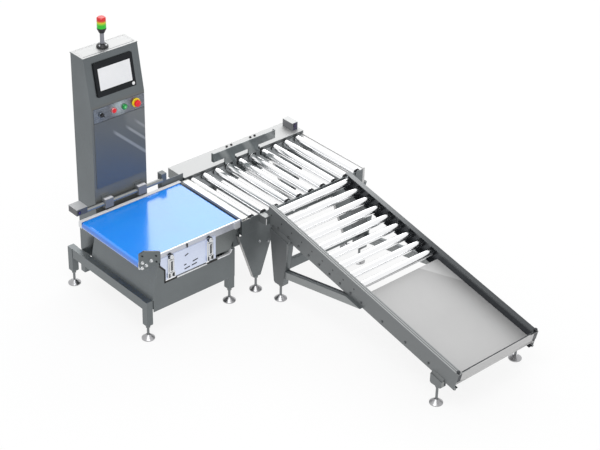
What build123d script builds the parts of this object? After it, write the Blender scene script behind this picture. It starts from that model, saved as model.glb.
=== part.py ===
from build123d import *
from math import atan2, cos, degrees, radians, sin, sqrt
import os

# Checkweigher with a pusher reject section and a gravity roller chute.
# Millimetres, +Z up. The origin is the floor point under the front foot at the infeed end.
# +X is the flow direction, -Y is the side that rejected goods leave by.

os.makedirs("parts", exist_ok=True)

# Floor frame of the weigh module
leg_pitch_x = 634
leg_pitch_y = 778
leg_size = 45
leg_bottom = 95
leg_chamfer = 8
frame_top = 275
beam_height = 65
beam_width = 40
cross_height = 45
cell_beam_width = 60

# Weigh conveyor
belt_start_x = -68
belt_length = 767
belt_top = 577
belt_front_y = -10
belt_width = 570
belt_thickness = 2
drum_radius = 23
journal_radius = 10
rail_height = 47
rail_above_belt = 4
front_rail_width = 12
rear_rail_width = 27
rail_gap = 2
bed_thickness = 3
case_top = 518
case_bottom = 398
case_wall = 2

# Clearances
running_gap = 0.06
moving_gap = 0.4
slide_gap = 3

# Sheet metal
sheet = 3
plate = 4

# Cabinet column
cabinet_x = 82
cabinet_width = 393
cabinet_front_y = 620
cabinet_depth = 190
cabinet_break = 1275
lean_height = 315
cabinet_top = cabinet_break + lean_height
cabinet_lean = 60
cabinet_wall = 2
lid_thickness = 7
lid_overhang = 3
door_bottom = 728
strip_drop = 4
strip_height = 93
strip_gap = 3
door_left_margin = 15
door_right_margin = 4
operator_drop = 50

# Operator screen
hmi_width = 280
hmi_height = 213
hmi_depth = 12
hmi_offset_x = 1
hmi_rise = 165
hmi_centre_z = cabinet_break + hmi_rise
screen_width = 234
screen_height = 137

# Push buttons, e-stop and selector, measured from the cabinet's side
selector_x = 70
stop_x = 161
start_x = 239
estop_x = 325
button_radius = 13
collar_radius = 19
collar_height = 8
button_proud = 5
button_travel = 5
estop_radius = 21
estop_collar_radius = 29

# Signal tower
tower_x = 187
tower_y = 125
tower_flange_radius = 37
tower_pole_radius = 13
tower_pole_length = 95
tower_pole_top = cabinet_top + tower_pole_length
lamp_radius = 28
lamp_base_height = 22
green_height = 29
amber_height = 20
red_height = 28

# Tie rod with its clamps and the two sensor boxes
rod_y = 597
rod_z = 627
rod_radius = 15
rod_end_x = 573
clamp_width = 60
clamp_height = 62
clamp_offsets = (75, 327)
pad_left = -32
pad_right = 26
pad_below = 38
pad_above = 44
pad_thickness = 5
bracket_rise = 39
bracket_length = 38
bracket_reach = 43
sensor_drop = 7
sensor_setback = 17
sensor_height = 42
sensor_length = 80
sensor_depth = 90
outfeed_sensor_width = 50
outfeed_sensor_depth = 100
outfeed_sensor_height = 55
outfeed_sensor_inset = 66
outfeed_sensor_setback = 39

# Powered roller section
section_x = 718
roller_count = 10
roller_pitch = 99
roller_first_x = 798
section_tail = 63
section_end_x = roller_first_x + roller_pitch * (roller_count - 1) + section_tail
roller_radius = 26
roller_axis_z = 548
roller_length = 588
roller_front_y = -13
roller_journal = 6
cap_radius = 21
cap_height = 6
pulley_radius = 18
pulley_width = 22
pulley_clearance = 8
side_gap = 4
side_bottom = 455
side_top = 561
cover_top = 585
cover_height = 70
cover_depth = 171
cover_inset = 25
lip_length = 46
lip_thickness = 6

# Pusher
pusher_start = 962
pusher_length = 520
pusher_height = 61
pusher_lift = 55
pusher_setback = 18
pusher_flange = 22
arm_width = 82
arm_flange = 8
stem_width = 30
stem_depth = 8
stem_lap = 30
guide_radius = 8
guide_z = 478
carriage_depth = 46

# Section legs
section_leg_inset = 126
section_leg_bottom = 105
section_leg_foot_width = 58
section_leg_spread = 0.35
leg_flange = 26

# Gravity roller chute
chute_angle = 11.6
chute_left_x = 897
chute_width = 675
chute_first_y = -89
chute_first_z = 567
chute_roller_count = 9
chute_pitch = 96.3
chute_roller_radius = 25
bearing_length = 26
bearing_width = 34
bearing_height = 44
hook_width = 40
hook_height = 54
rail_above_axis = 50
rail_below_axis = 74
rail_flange = 35
rail_upper_end = 34
rail_length = 1683
tray_below_axis = 35
tray_gap = 45
stop_height = 62
stop_fold = 6
chute_leg_y = -190
chute_leg_bottom = 115
chute_leg_foot_width = 84
chute_leg_spread = 0.13
lower_leg_y = -1566
lower_leg_bottom = 130
lower_leg_width = 92
lower_leg_flange = 36
leg_corner = 10
brace_size = 40
brace_depth = 50
brace_run = 740
brace_rise = 150
brace_foot_z = 205
tie_bar_z = 238
tie_bar_height = 62
tie_bar_depth = 30

# Levelling feet
foot_radius = 41
foot_rim = 6
foot_cone_top = 30
foot_neck_radius = 12
stem_radius = 8
nut_height = 13
nut_radius = 15


def save(piece, name):
    piece.label = name
    export_step(piece, f"parts/{name}.step")


def box_between(low, high, mode=Mode.ADD):
    """A box from its lowest to its highest corner."""
    centre = [(a + b) / 2 for a, b in zip(low, high)]
    with Locations(Location(tuple(centre))):
        Box(high[0] - low[0], high[1] - low[1], high[2] - low[2], mode=mode)


control_height = cabinet_break - operator_drop
panel_top = cabinet_break - strip_drop
panel_bottom = panel_top - strip_height
door_top = panel_bottom - strip_gap
half_leg = leg_size / 2
leg_points = [(0, 0), (leg_pitch_x, 0), (0, leg_pitch_y), (leg_pitch_x, leg_pitch_y)]
cabinet_back_y = cabinet_front_y + cabinet_depth
cabinet_end_x = cabinet_x + cabinet_width
cross_top = frame_top - beam_height

# Weigh frame: four square legs, beams round three sides, and cross bars under the cabinet
front_cross_y = cabinet_front_y + half_leg
cell_beam_y = belt_front_y + belt_width / 2
with BuildPart() as weigh_frame:
    with BuildSketch(Plane.XY.offset(leg_bottom)):
        with Locations(*leg_points):
            Rectangle(leg_size, leg_size)
    extrude(amount=frame_top - leg_bottom)
    chamfer(weigh_frame.faces().sort_by(Axis.Z)[0:4].edges(), leg_chamfer)
    for x in (0, leg_pitch_x):
        box_between((x - beam_width / 2, half_leg, cross_top), (x + beam_width / 2, leg_pitch_y - half_leg, frame_top))
    box_between((half_leg, -beam_width / 2, cross_top), (leg_pitch_x - half_leg, beam_width / 2, frame_top))
    for y in (front_cross_y, leg_pitch_y):
        box_between((-beam_width / 2, y - beam_width / 2, cross_top - cross_height),
                    (leg_pitch_x + beam_width / 2, y + beam_width / 2, cross_top))
    box_between((beam_width / 2, cell_beam_y - cell_beam_width / 2, cross_top),
                (leg_pitch_x - beam_width / 2, cell_beam_y + cell_beam_width / 2, frame_top))
save(weigh_frame.part, "weigh_frame")

# Folded skirt: front panel with the wide notch, leaning infeed panel and straight outfeed panel
skirt_bottom = 190
notch_z = 372
lean_top_z = 524
lean_foot_x = half_leg - sheet
lean_top_x = 72
outer_x = leg_pitch_x + half_leg
side_top_z = 396
cover_left = 121
step_x = 38
step_low_z = 455
step_high_z = 500
fin_x = cover_left - 4
panel_back_y = cabinet_front_y - 20
with BuildPart() as frame_panels:
    with BuildSketch(Plane.XZ.offset(half_leg)):
        with BuildLine():
            Polyline((half_leg + 5, skirt_bottom), (outer_x, skirt_bottom), (outer_x, side_top_z),
                     (outer_x - 26, side_top_z), (outer_x - 40, notch_z), (fin_x, notch_z), (fin_x, step_low_z),
                     (fin_x - step_x, step_high_z), (lean_top_x, lean_top_z), (lean_foot_x, frame_top),
                     (half_leg + 5, frame_top), close=True)
        make_face()
    extrude(amount=sheet)
    with BuildSketch(Plane.XZ.offset(half_leg)):
        with BuildLine():
            Polyline((lean_foot_x, frame_top), (lean_top_x, lean_top_z), (lean_top_x + sheet, lean_top_z),
                     (lean_foot_x + sheet, frame_top), close=True)
        make_face()
    extrude(amount=-panel_back_y - half_leg)
    box_between((outer_x - sheet, -half_leg, frame_top), (outer_x, panel_back_y, side_top_z))
save(frame_panels.part, "frame_panels")

# Conveyor case: a tapered pan under the belt, open at the top
belt_end_x = belt_start_x + belt_length
case_left = 88
case_right_top = belt_end_x - 13
case_right_bottom = 623
rail_top = belt_top + rail_above_belt
rail_bottom = rail_top - rail_height
belt_back_y = belt_front_y + belt_width
front_rail_y = belt_front_y - rail_gap - front_rail_width
rear_rail_y = belt_back_y + rail_gap
case_front_y = front_rail_y + 4
case_back_y = rear_rail_y + rear_rail_width / 2
with BuildPart() as conveyor_case:
    with BuildSketch(Plane.XZ.offset(-case_front_y)):
        with BuildLine():
            Polyline((case_left, case_bottom), (case_right_bottom, case_bottom), (case_right_top, case_top),
                     (case_left, case_top), close=True)
        make_face()
    extrude(amount=-(case_back_y - case_front_y))
    offset(amount=-case_wall, openings=conveyor_case.faces().sort_by(Axis.Z)[-1])
    for y in (case_front_y, case_back_y - case_wall):
        box_between((case_left, y, case_top), (case_right_top, y + case_wall, rail_bottom))
save(conveyor_case.part, "conveyor_case")

# Conveyor frame: two extruded side rails joined by the slider bed
drum_z = belt_top - belt_thickness - drum_radius
drum_reach = drum_radius + belt_thickness
tail_x = belt_start_x + drum_reach
drive_x = belt_end_x - drum_reach
rail_start = belt_start_x + 2
rail_end = belt_end_x + 3
bed_top = belt_top - belt_thickness
with BuildPart() as conveyor_frame:
    box_between((rail_start, front_rail_y, rail_bottom), (rail_end, front_rail_y + front_rail_width, rail_top))
    box_between((rail_start, rear_rail_y, rail_bottom), (rail_end, rear_rail_y + rear_rail_width, rail_top))
    fillet(conveyor_frame.edges().filter_by(Axis.X).group_by(Axis.Z)[-1], 2)
    box_between((tail_x + drum_reach, front_rail_y + front_rail_width, bed_top - bed_thickness),
                (drive_x - drum_reach, rear_rail_y, bed_top))
    for x in (tail_x, drive_x):
        with Locations(Location((x, belt_back_y, drum_z), (90, 0, 0))):
            Cylinder(journal_radius + running_gap, 3 * belt_width, mode=Mode.SUBTRACT)
save(conveyor_frame.part, "conveyor_frame")

# Belt: a closed loop round both drums
with BuildPart() as conveyor_belt:
    with BuildSketch(Plane.XZ.offset(-belt_front_y)):
        with Locations(((tail_x + drive_x) / 2, drum_z)):
            SlotCenterToCenter(drive_x - tail_x, 2 * drum_reach)
            SlotCenterToCenter(drive_x - tail_x, 2 * (drum_radius + running_gap), mode=Mode.SUBTRACT)
    extrude(amount=-belt_width)
save(conveyor_belt.part, "conveyor_belt")

# Drums with journals that run in the rails
drum_face = belt_width - 4
for name, x in (("tail_drum", tail_x), ("drive_drum", drive_x)):
    journal_start = front_rail_y + 1
    journal_end = rear_rail_y + rear_rail_width - 1
    with BuildPart() as drum:
        with Locations(Location((x, belt_front_y + belt_width / 2, drum_z), (90, 0, 0))):
            Cylinder(drum_radius, drum_face)
            chamfer(drum.edges(), 1)
        with Locations(Location((x, (journal_start + journal_end) / 2, drum_z), (90, 0, 0))):
            Cylinder(journal_radius, journal_end - journal_start)
    save(drum.part, name)

# Guard brackets over the drum ends: the raised one at the infeed front, low caps at the other three
guard_thickness = 10
guard_left = belt_start_x - 4
guard_length = 154
guard_right = guard_left + guard_length
guard_rise = 79
guard_drop = 54
guard_front_y = front_rail_y - guard_thickness
with BuildPart() as drum_brackets:
    with BuildSketch(Plane.XZ.offset(-front_rail_y)):
        with BuildLine():
            Polyline((guard_left, belt_top - 14), (guard_left, belt_top + guard_rise - 8),
                     (guard_left + 38, belt_top + guard_rise), (guard_right, belt_top + 31),
                     (guard_right, belt_top - guard_drop + 8), (guard_left + 26, belt_top - guard_drop), close=True)
        make_face()
        fillet(vertices(), 4)
    extrude(amount=guard_thickness)
    low_caps = ((drive_x, front_rail_y, 1), (tail_x, rear_rail_y + rear_rail_width, -1),
                (drive_x, rear_rail_y + rear_rail_width, -1))
    for x, y, side in low_caps:
        with BuildSketch(Plane.XZ.offset(-y)):
            with Locations((x, drum_z)):
                RectangleRounded(2 * drum_reach - 4, rail_height - 4, 8)
        extrude(amount=side * 6)
save(drum_brackets.part, "drum_brackets")

# Drive cover: a flanged plate hanging on the front rail
cover_right = 504
cover_low = 385
latch_width = 30
latch_inset = 60
cover_plate_top = rail_bottom + 14
with BuildPart() as drive_cover:
    with BuildSketch(Plane.XZ.offset(-front_rail_y)):
        with BuildLine():
            Polyline((cover_left - step_x, cover_plate_top), (cover_left - step_x, step_high_z + 4),
                     (cover_left, step_low_z + 4), (cover_left, cover_low), (cover_right, cover_low),
                     (cover_right, cover_plate_top), close=True)
        make_face()
        fillet(vertices(), 4)
    extrude(amount=plate)
    box_between((cover_left, front_rail_y - plate, cover_low), (cover_right, front_rail_y, cover_low + plate))
    for x in (cover_left + latch_inset, cover_right - latch_inset):
        box_between((x - latch_width / 2, front_rail_y - 2 * plate, cover_low + 2 * plate),
                    (x + latch_width / 2, front_rail_y - plate, cover_plate_top - 3 * plate))
save(drive_cover.part, "drive_cover")

# Gear motor lying in the case: gearbox, round body with cooling rings, and its foot
motor_x = 500
motor_radius = 44
motor_ring = 4
motor_ring_count = 8
motor_ring_pitch = 20
motor_length = 190
gearbox_length = 90
motor_z = case_bottom + case_wall + motor_radius + 10
gearbox_setback = 60
gearbox_y = case_front_y + gearbox_setback
motor_y = gearbox_y + gearbox_length
with BuildPart() as drive_motor:
    with BuildSketch(Plane.XZ.offset(-gearbox_y)):
        with Locations((motor_x, motor_z)):
            RectangleRounded(2 * motor_radius, 2 * motor_radius, 8)
    extrude(amount=-gearbox_length)
    with Locations(Location((motor_x, motor_y, motor_z), (-90, 0, 0))):
        Cylinder(motor_radius, motor_length, align=(Align.CENTER, Align.CENTER, Align.MIN))
    for step in range(motor_ring_count):
        with Locations(Location((motor_x, motor_y + motor_ring_pitch * (step + 1), motor_z), (-90, 0, 0))):
            Cylinder(motor_radius + motor_ring, motor_ring, align=(Align.CENTER, Align.CENTER, Align.MIN))
    box_between((motor_x - motor_radius + 4, gearbox_y + 10, case_bottom + case_wall),
                (motor_x + motor_radius - 4, motor_y - 10, motor_z - motor_radius + 4))
save(drive_motor.part, "drive_motor")

# Load cell: a drilled bar between a lower and an upper spacer
cell_length = 150
cell_width = 40
cell_low = frame_top + 22
cell_high = cell_low + 48
cell_x = (case_left + case_right_bottom) / 2
with BuildPart() as load_cell:
    box_between((cell_x - cell_length / 2, cell_beam_y - cell_width / 2, cell_low),
                (cell_x + cell_length / 2, cell_beam_y + cell_width / 2, cell_high))
    with Locations(Location((cell_x - 14, cell_beam_y, (cell_low + cell_high) / 2), (90, 0, 0)),
                   Location((cell_x + 14, cell_beam_y, (cell_low + cell_high) / 2), (90, 0, 0))):
        Cylinder(16, cell_width + 2, mode=Mode.SUBTRACT)
    box_between((cell_x - cell_length / 2, cell_beam_y - cell_width / 2, frame_top),
                (cell_x - cell_length / 2 + 45, cell_beam_y + cell_width / 2, cell_low))
    box_between((cell_x + cell_length / 2 - 45, cell_beam_y - cell_width / 2, cell_high),
                (cell_x + cell_length / 2, cell_beam_y + cell_width / 2, case_bottom))
save(load_cell.part, "load_cell")

# Cabinet column: a folded shell whose upper front leans back for the screen, with a lipped roof
cabinet_mid_x = cabinet_x + cabinet_width / 2
shell_top = cabinet_top - lid_thickness
front_top_y = cabinet_front_y + cabinet_lean
lean_at_shell = cabinet_front_y + cabinet_lean * (shell_top - cabinet_break) / lean_height
door_left = cabinet_x + door_left_margin
door_right = cabinet_end_x - door_right_margin
frame_lip = 14
with BuildPart() as cabinet_shell:
    with BuildSketch(Plane.YZ.offset(cabinet_x)):
        with BuildLine():
            Polyline((cabinet_front_y, cross_top), (cabinet_back_y, cross_top), (cabinet_back_y, shell_top),
                     (lean_at_shell, shell_top), (cabinet_front_y, cabinet_break), close=True)
        make_face()
    extrude(amount=cabinet_width)
    fillet(cabinet_shell.edges().filter_by(Axis.Z), 3)
    offset(amount=-cabinet_wall, mode=Mode.SUBTRACT)
    box_between((door_left + frame_lip, cabinet_front_y - 1, door_bottom + frame_lip),
                (door_right - frame_lip, cabinet_front_y + cabinet_wall + 1, door_top - frame_lip), mode=Mode.SUBTRACT)
    box_between((door_left + frame_lip, cabinet_front_y - 1, door_top + frame_lip),
                (door_right - frame_lip, cabinet_front_y + cabinet_wall + 1, panel_top - frame_lip), mode=Mode.SUBTRACT)
    with BuildSketch(Plane.XY.offset(shell_top)):
        with Locations((cabinet_mid_x, (front_top_y + cabinet_back_y) / 2)):
            RectangleRounded(cabinet_width + 2 * lid_overhang, cabinet_back_y - front_top_y + 2 * lid_overhang, 4)
    extrude(amount=lid_thickness)
    fillet(cabinet_shell.faces().sort_by(Axis.Z)[-1].edges(), 2)
save(cabinet_shell.part, "cabinet_shell")

# Door, which turns about the middle of its right edge
door_gap = 0.8
with BuildPart() as cabinet_door:
    box_between((door_left, cabinet_front_y - sheet - door_gap, door_bottom),
                (door_right, cabinet_front_y - door_gap, door_top))
    fillet(cabinet_door.edges().filter_by(Axis.Z).group_by(Axis.Y)[0], 1)
save(cabinet_door.part, "cabinet_door")

# Control strip over the door, drilled for the four operators
operator_points = [(cabinet_x + x, control_height) for x in (selector_x, stop_x, start_x, estop_x)]
with BuildPart() as control_panel:
    box_between((door_left, cabinet_front_y - sheet, panel_bottom), (door_right, cabinet_front_y, panel_top))
    with Locations(Plane.XZ.offset(-cabinet_front_y + 1)):
        with Locations(*operator_points):
            Cylinder(button_radius + moving_gap, 4 * sheet, mode=Mode.SUBTRACT)
save(control_panel.part, "control_panel")

panel_face_y = cabinet_front_y - sheet
with BuildPart() as control_collars:
    with BuildSketch(Plane.XZ.offset(-panel_face_y)):
        with Locations(*operator_points[:3]):
            Circle(collar_radius)
        with Locations(operator_points[3]):
            Circle(estop_collar_radius)
        with Locations(*operator_points):
            Circle(button_radius + moving_gap, mode=Mode.SUBTRACT)
    extrude(amount=collar_height)
    chamfer(control_collars.faces().sort_by(Axis.Y)[0:4].edges().sort_by(SortBy.RADIUS)[-4:], 2)
save(control_collars.part, "control_collars")

# Push buttons: a cap in its collar and a stem through the strip
for name, point in (("stop_button", operator_points[1]), ("start_button", operator_points[2])):
    with BuildPart() as button:
        with BuildSketch(Plane.XZ.offset(-panel_face_y - sheet)):
            with Locations(point):
                Circle(button_radius)
        extrude(amount=sheet + collar_height + button_proud)
        chamfer(button.faces().sort_by(Axis.Y)[0].edges(), 1.5)
    save(button.part, name)

# Emergency stop: a mushroom head on a stem, standing off its collar by its travel
with BuildPart() as estop_button:
    with BuildSketch(Plane.XZ.offset(-panel_face_y - sheet)):
        with Locations(operator_points[3]):
            Circle(button_radius)
    extrude(amount=sheet + collar_height + button_travel + moving_gap)
    with BuildSketch(Plane.XZ.offset(-panel_face_y + collar_height + button_travel + moving_gap)):
        with Locations(operator_points[3]):
            Circle(estop_radius)
    extrude(amount=16)
    chamfer(estop_button.faces().sort_by(Axis.Y)[0].edges(), 4, 8)
save(estop_button.part, "estop_button")

# Selector: a round skirt with a raised finger bar
with BuildPart() as selector_knob:
    with BuildSketch(Plane.XZ.offset(-panel_face_y - sheet)):
        with Locations(operator_points[0]):
            Circle(button_radius)
    extrude(amount=sheet + collar_height + 3)
    with BuildSketch(Plane.XZ.offset(-panel_face_y + collar_height + 3)):
        with Locations(operator_points[0]):
            SlotOverall(2 * button_radius - 2, 9, rotation=135)
    extrude(amount=12)
save(selector_knob.part, "selector_knob")

# Operator screen on the leaning face
lean_angle = degrees(atan2(cabinet_lean, lean_height))
hmi_x = cabinet_mid_x + hmi_offset_x
hmi_y = cabinet_front_y + cabinet_lean * (hmi_centre_z - cabinet_break) / lean_height
lean_plane = Plane(origin=(hmi_x, hmi_y, hmi_centre_z), x_dir=(1, 0, 0),
                   z_dir=(0, -cos(radians(lean_angle)), sin(radians(lean_angle))))
glass_depth = 3
with BuildPart() as hmi_housing:
    with BuildSketch(lean_plane):
        RectangleRounded(hmi_width, hmi_height, 6)
    extrude(amount=hmi_depth)
    fillet(hmi_housing.faces().sort_by(Axis((0, 0, 0), lean_plane.z_dir))[-1].edges(), 2)
    with BuildSketch(lean_plane.offset(hmi_depth)):
        Rectangle(screen_width, screen_height)
    extrude(amount=-glass_depth, mode=Mode.SUBTRACT)
save(hmi_housing.part, "hmi_housing")

with BuildPart() as hmi_screen:
    with BuildSketch(lean_plane.offset(hmi_depth - glass_depth)):
        Rectangle(screen_width, screen_height)
    extrude(amount=glass_depth - 0.5)
save(hmi_screen.part, "hmi_screen")

# Control gear on its mounting plate behind the door
gear_plate_y = cabinet_back_y - cabinet_wall - 14
gear_modules = ((60, 250, 70, 130, 90), (150, 250, 60, 130, 80), (270, 240, 110, 150, 100), (180, 60, 240, 70, 60))
with BuildPart() as control_gear:
    box_between((cabinet_x + 26, gear_plate_y - plate, door_bottom + 24),
                (cabinet_end_x - 26, gear_plate_y, door_top - 24))
    for x in (cabinet_x + 40, cabinet_end_x - 40):
        for z in (door_bottom + 40, door_top - 40):
            box_between((x - 8, gear_plate_y, z - 8), (x + 8, cabinet_back_y - cabinet_wall, z + 8))
    for x, z, width, height, depth in gear_modules:
        box_between((cabinet_x + x - width / 2, gear_plate_y - plate - depth, door_bottom + z - height / 2),
                    (cabinet_x + x + width / 2, gear_plate_y - plate, door_bottom + z + height / 2))
save(control_gear.part, "control_gear")

# Signal tower: flange, pole and socket in one piece, three stacked lenses above
tower_centre = (cabinet_x + tower_x, cabinet_front_y + tower_y)
lamp_start = tower_pole_top + lamp_base_height
with BuildPart() as stack_mount:
    with BuildSketch(Plane(origin=(*tower_centre, 0), x_dir=(1, 0, 0), z_dir=(0, -1, 0))):
        with BuildLine():
            Polyline((0, cabinet_top), (tower_flange_radius, cabinet_top), (tower_flange_radius, cabinet_top + 8),
                     (tower_pole_radius + 9, cabinet_top + 22), (tower_pole_radius, cabinet_top + 24),
                     (tower_pole_radius, tower_pole_top), (lamp_radius - 10, tower_pole_top),
                     (lamp_radius, lamp_start), (0, lamp_start), close=True)
        make_face()
    revolve(axis=Axis((*tower_centre, 0), (0, 0, 1)))
save(stack_mount.part, "stack_mount")

lens_low = lamp_start
for name, height, edge_size in (("lamp_green", green_height, 0.5), ("lamp_amber", amber_height, 0.5),
                                ("lamp_red", red_height, 7)):
    with BuildPart() as lamp:
        with BuildSketch(Plane.XY.offset(lens_low)):
            with Locations(tower_centre):
                Circle(lamp_radius)
        extrude(amount=height)
        chamfer(lamp.faces().sort_by(Axis.Z)[-1].edges(), edge_size)
    save(lamp.part, name)
    lens_low += height

# Tie rod from the infeed sensor box past the cabinet to the roller section
sensor_box_x = belt_start_x - 16
sensor_box_end = sensor_box_x + sensor_length
with BuildPart() as tie_rod:
    with Locations(Location((sensor_box_end, rod_y, rod_z), (0, 90, 0))):
        Cylinder(rod_radius, rod_end_x - sensor_box_end, align=(Align.CENTER, Align.CENTER, Align.MIN))
save(tie_rod.part, "tie_rod")

clamp_back_y = cabinet_front_y - pad_thickness
clamp_front_y = 2 * rod_y - clamp_back_y - 4
with BuildPart() as rod_clamps:
    for offset_x in clamp_offsets:
        x = cabinet_x + offset_x
        box_between((x - clamp_width / 2, clamp_front_y, rod_z - clamp_height / 2),
                    (x + clamp_width / 2, clamp_back_y, rod_z + clamp_height / 2))
    chamfer(rod_clamps.edges().filter_by(Axis.X), 3)
    for offset_x in clamp_offsets:
        with Locations(Location((cabinet_x + offset_x, rod_y, rod_z), (0, 90, 0))):
            Cylinder(rod_radius + running_gap, clamp_width + 2, mode=Mode.SUBTRACT)
save(rod_clamps.part, "rod_clamps")

# Brackets that carry the rod: a pad behind each clamp, and a flanged bracket on the roller section
frame_front_y = roller_front_y - side_gap - plate
rear_plate_y = roller_front_y + roller_length + side_gap
cover_front_y = rear_plate_y + plate
bracket_y = rear_rail_y + rear_rail_width + 8
bracket_top = rod_z + bracket_rise
bracket_end_x = rod_end_x + bracket_length
web_drop = 79
web_height = 67
web_low = rod_z - web_drop
web_high = web_low + web_height
with BuildPart() as rod_brackets:
    for offset_x in clamp_offsets:
        x = cabinet_x + offset_x
        box_between((x + pad_left, clamp_back_y, rod_z - pad_below), (x + pad_right, cabinet_front_y, rod_z + pad_above))
    box_between((rod_end_x, bracket_y, web_low), (rod_end_x + plate, bracket_y + bracket_reach, bracket_top))
    box_between((rod_end_x, bracket_y, bracket_top - plate), (bracket_end_x, bracket_y + bracket_reach, bracket_top))
    box_between((rod_end_x, bracket_y, web_low), (bracket_end_x, bracket_y + plate, bracket_top))
    box_between((rod_end_x, bracket_y, web_low), (section_x + cover_inset, bracket_y + plate, web_high))
save(rod_brackets.part, "rod_brackets")

# Photoelectric sensor boxes
outfeed_sensor_x = section_end_x - outfeed_sensor_inset
cover_back_y = cover_front_y + cover_depth
outfeed_sensor_y = cover_front_y + outfeed_sensor_setback
with BuildPart() as photo_sensors:
    box_between((sensor_box_x, rod_y - sensor_setback, rod_z - sensor_drop),
                (sensor_box_end, rod_y - sensor_setback + sensor_depth, rod_z - sensor_drop + sensor_height))
    box_between((outfeed_sensor_x, outfeed_sensor_y, cover_top),
                (outfeed_sensor_x + outfeed_sensor_width, outfeed_sensor_y + outfeed_sensor_depth,
                 cover_top + outfeed_sensor_height))
    fillet(photo_sensors.edges().filter_by(Axis.Z), 4)
save(photo_sensors.part, "photo_sensors")

# Frame of the roller section: side plates drilled for the rollers and the pusher guides, with caps over
# the front bearings, the infeed end plate with its transfer lip and junction box, the low outfeed end
# plate with a flat bar above it, two cross bars over the legs
roller_xs = [roller_first_x + roller_pitch * i for i in range(roller_count)]
arm_xs = (roller_first_x + 3.5 * roller_pitch, roller_first_x + 5.5 * roller_pitch)
leg_xs = (section_x + section_leg_inset, section_end_x - section_leg_inset)
inner_front_y = frame_front_y + plate
junction_length = 46
junction_depth = 60
junction_height = 103
junction_bottom = 375
junction_front_y = frame_front_y + leg_flange + slide_gap
chute_right_x = chute_left_x + chute_width
hook_xs = (chute_left_x - hook_width / 2, chute_right_x + hook_width / 2)
cap_xs = [x for x in roller_xs if min(abs(x - hook_x) for hook_x in hook_xs) > hook_width / 2 + cap_radius]
lip_top = belt_top - 4
end_plate_height = 65
bar_width = 16
bar_thickness = 8
with BuildPart() as roller_frame:
    for y in (frame_front_y, rear_plate_y):
        box_between((section_x, y, side_bottom), (section_end_x, y + plate, side_top))
    box_between((section_x, inner_front_y, side_bottom), (section_x + plate, rear_plate_y, lip_top))
    box_between((section_x, inner_front_y, lip_top - lip_thickness), (section_x + lip_length, rear_plate_y, lip_top))
    box_between((section_end_x - plate, inner_front_y, side_bottom),
                (section_end_x, rear_plate_y, side_bottom + end_plate_height))
    box_between((section_end_x - bar_width, frame_front_y, side_top),
                (section_end_x, cover_front_y, side_top + bar_thickness))
    for x in leg_xs:
        box_between((x - 20, inner_front_y, side_bottom), (x + 20, rear_plate_y, side_bottom + 40))
    box_between((section_x - junction_length, junction_front_y, junction_bottom),
                (section_x + plate, junction_front_y + junction_depth, junction_bottom + junction_height))
    for x in cap_xs:
        with Locations(Location((x, frame_front_y, roller_axis_z), (90, 0, 0))):
            Cylinder(cap_radius, cap_height, align=(Align.CENTER, Align.CENTER, Align.MIN))
    for x in roller_xs:
        with Locations(Location((x, frame_front_y, roller_axis_z), (-90, 0, 0))):
            Cylinder(roller_journal + running_gap, 2 * roller_length, align=(Align.CENTER, Align.CENTER, Align.MIN),
                     mode=Mode.SUBTRACT)
    for x in arm_xs:
        with Locations(Location((x, cell_beam_y, guide_z), (90, 0, 0))):
            Cylinder(guide_radius + running_gap, 2 * roller_length, mode=Mode.SUBTRACT)
save(roller_frame.part, "roller_frame")

# Rear cover: a folded box, open below, that hides the roller drive
with BuildPart() as rear_cover:
    box_between((section_x + cover_inset, cover_front_y, cover_top - cover_height),
                (section_end_x, cover_back_y, cover_top))
    fillet(rear_cover.edges().filter_by(Axis.X).group_by(Axis.Z)[-1], 2)
    offset(amount=-sheet, openings=rear_cover.faces().sort_by(Axis.Z)[0])
    for x in roller_xs:
        with Locations(Location((x, cover_front_y, roller_axis_z), (90, 0, 0))):
            Cylinder(roller_journal + moving_gap, 4 * sheet, mode=Mode.SUBTRACT)
save(rear_cover.part, "rear_cover")

# Powered rollers: a tube with journals, and a drive pulley on the rear journal inside the cover
pulley_start_y = cover_front_y + pulley_clearance
for i, x in enumerate(roller_xs):
    with BuildPart() as roller:
        with Locations(Location((x, roller_front_y, roller_axis_z), (-90, 0, 0))):
            Cylinder(roller_radius, roller_length, align=(Align.CENTER, Align.CENTER, Align.MIN))
        with Locations(Location((x, frame_front_y, roller_axis_z), (-90, 0, 0))):
            Cylinder(roller_journal, pulley_start_y + pulley_width - frame_front_y,
                     align=(Align.CENTER, Align.CENTER, Align.MIN))
        with Locations(Location((x, pulley_start_y, roller_axis_z), (-90, 0, 0))):
            Cylinder(pulley_radius, pulley_width, align=(Align.CENTER, Align.CENTER, Align.MIN))
    save(roller.part, f"roller_{i + 1:02d}")

# Pusher: a blade over the rollers, its ends folded back
roller_top_z = roller_axis_z + roller_radius
blade_y = rear_plate_y - pusher_setback
blade_low = roller_top_z + pusher_lift
blade_end = pusher_start + pusher_length
arm_y = blade_y + plate
carriage_front_y = rear_plate_y - slide_gap - carriage_depth
with BuildPart() as pusher_blade:
    box_between((pusher_start, blade_y, blade_low), (blade_end, blade_y + plate, blade_low + pusher_height))
    for x in (pusher_start, blade_end - plate):
        box_between((x, blade_y, blade_low), (x + plate, blade_y + pusher_flange, blade_low + pusher_height))
save(pusher_blade.part, "pusher_blade")

# Pusher arms: folded plates behind the blade that reach down to the rollers, each beside the gap
# between two rollers that its stem comes up through
arm_low = roller_top_z + slide_gap
arm_top = blade_low + pusher_height - 8
stem_y = arm_y + plate
with BuildPart() as pusher_arms:
    for x in arm_xs:
        box_between((x - arm_width, arm_y, arm_low), (x, stem_y, arm_top))
        box_between((x - arm_width, stem_y, arm_low), (x - arm_width + plate, stem_y + arm_flange, arm_top))
save(pusher_arms.part, "pusher_arms")

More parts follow.
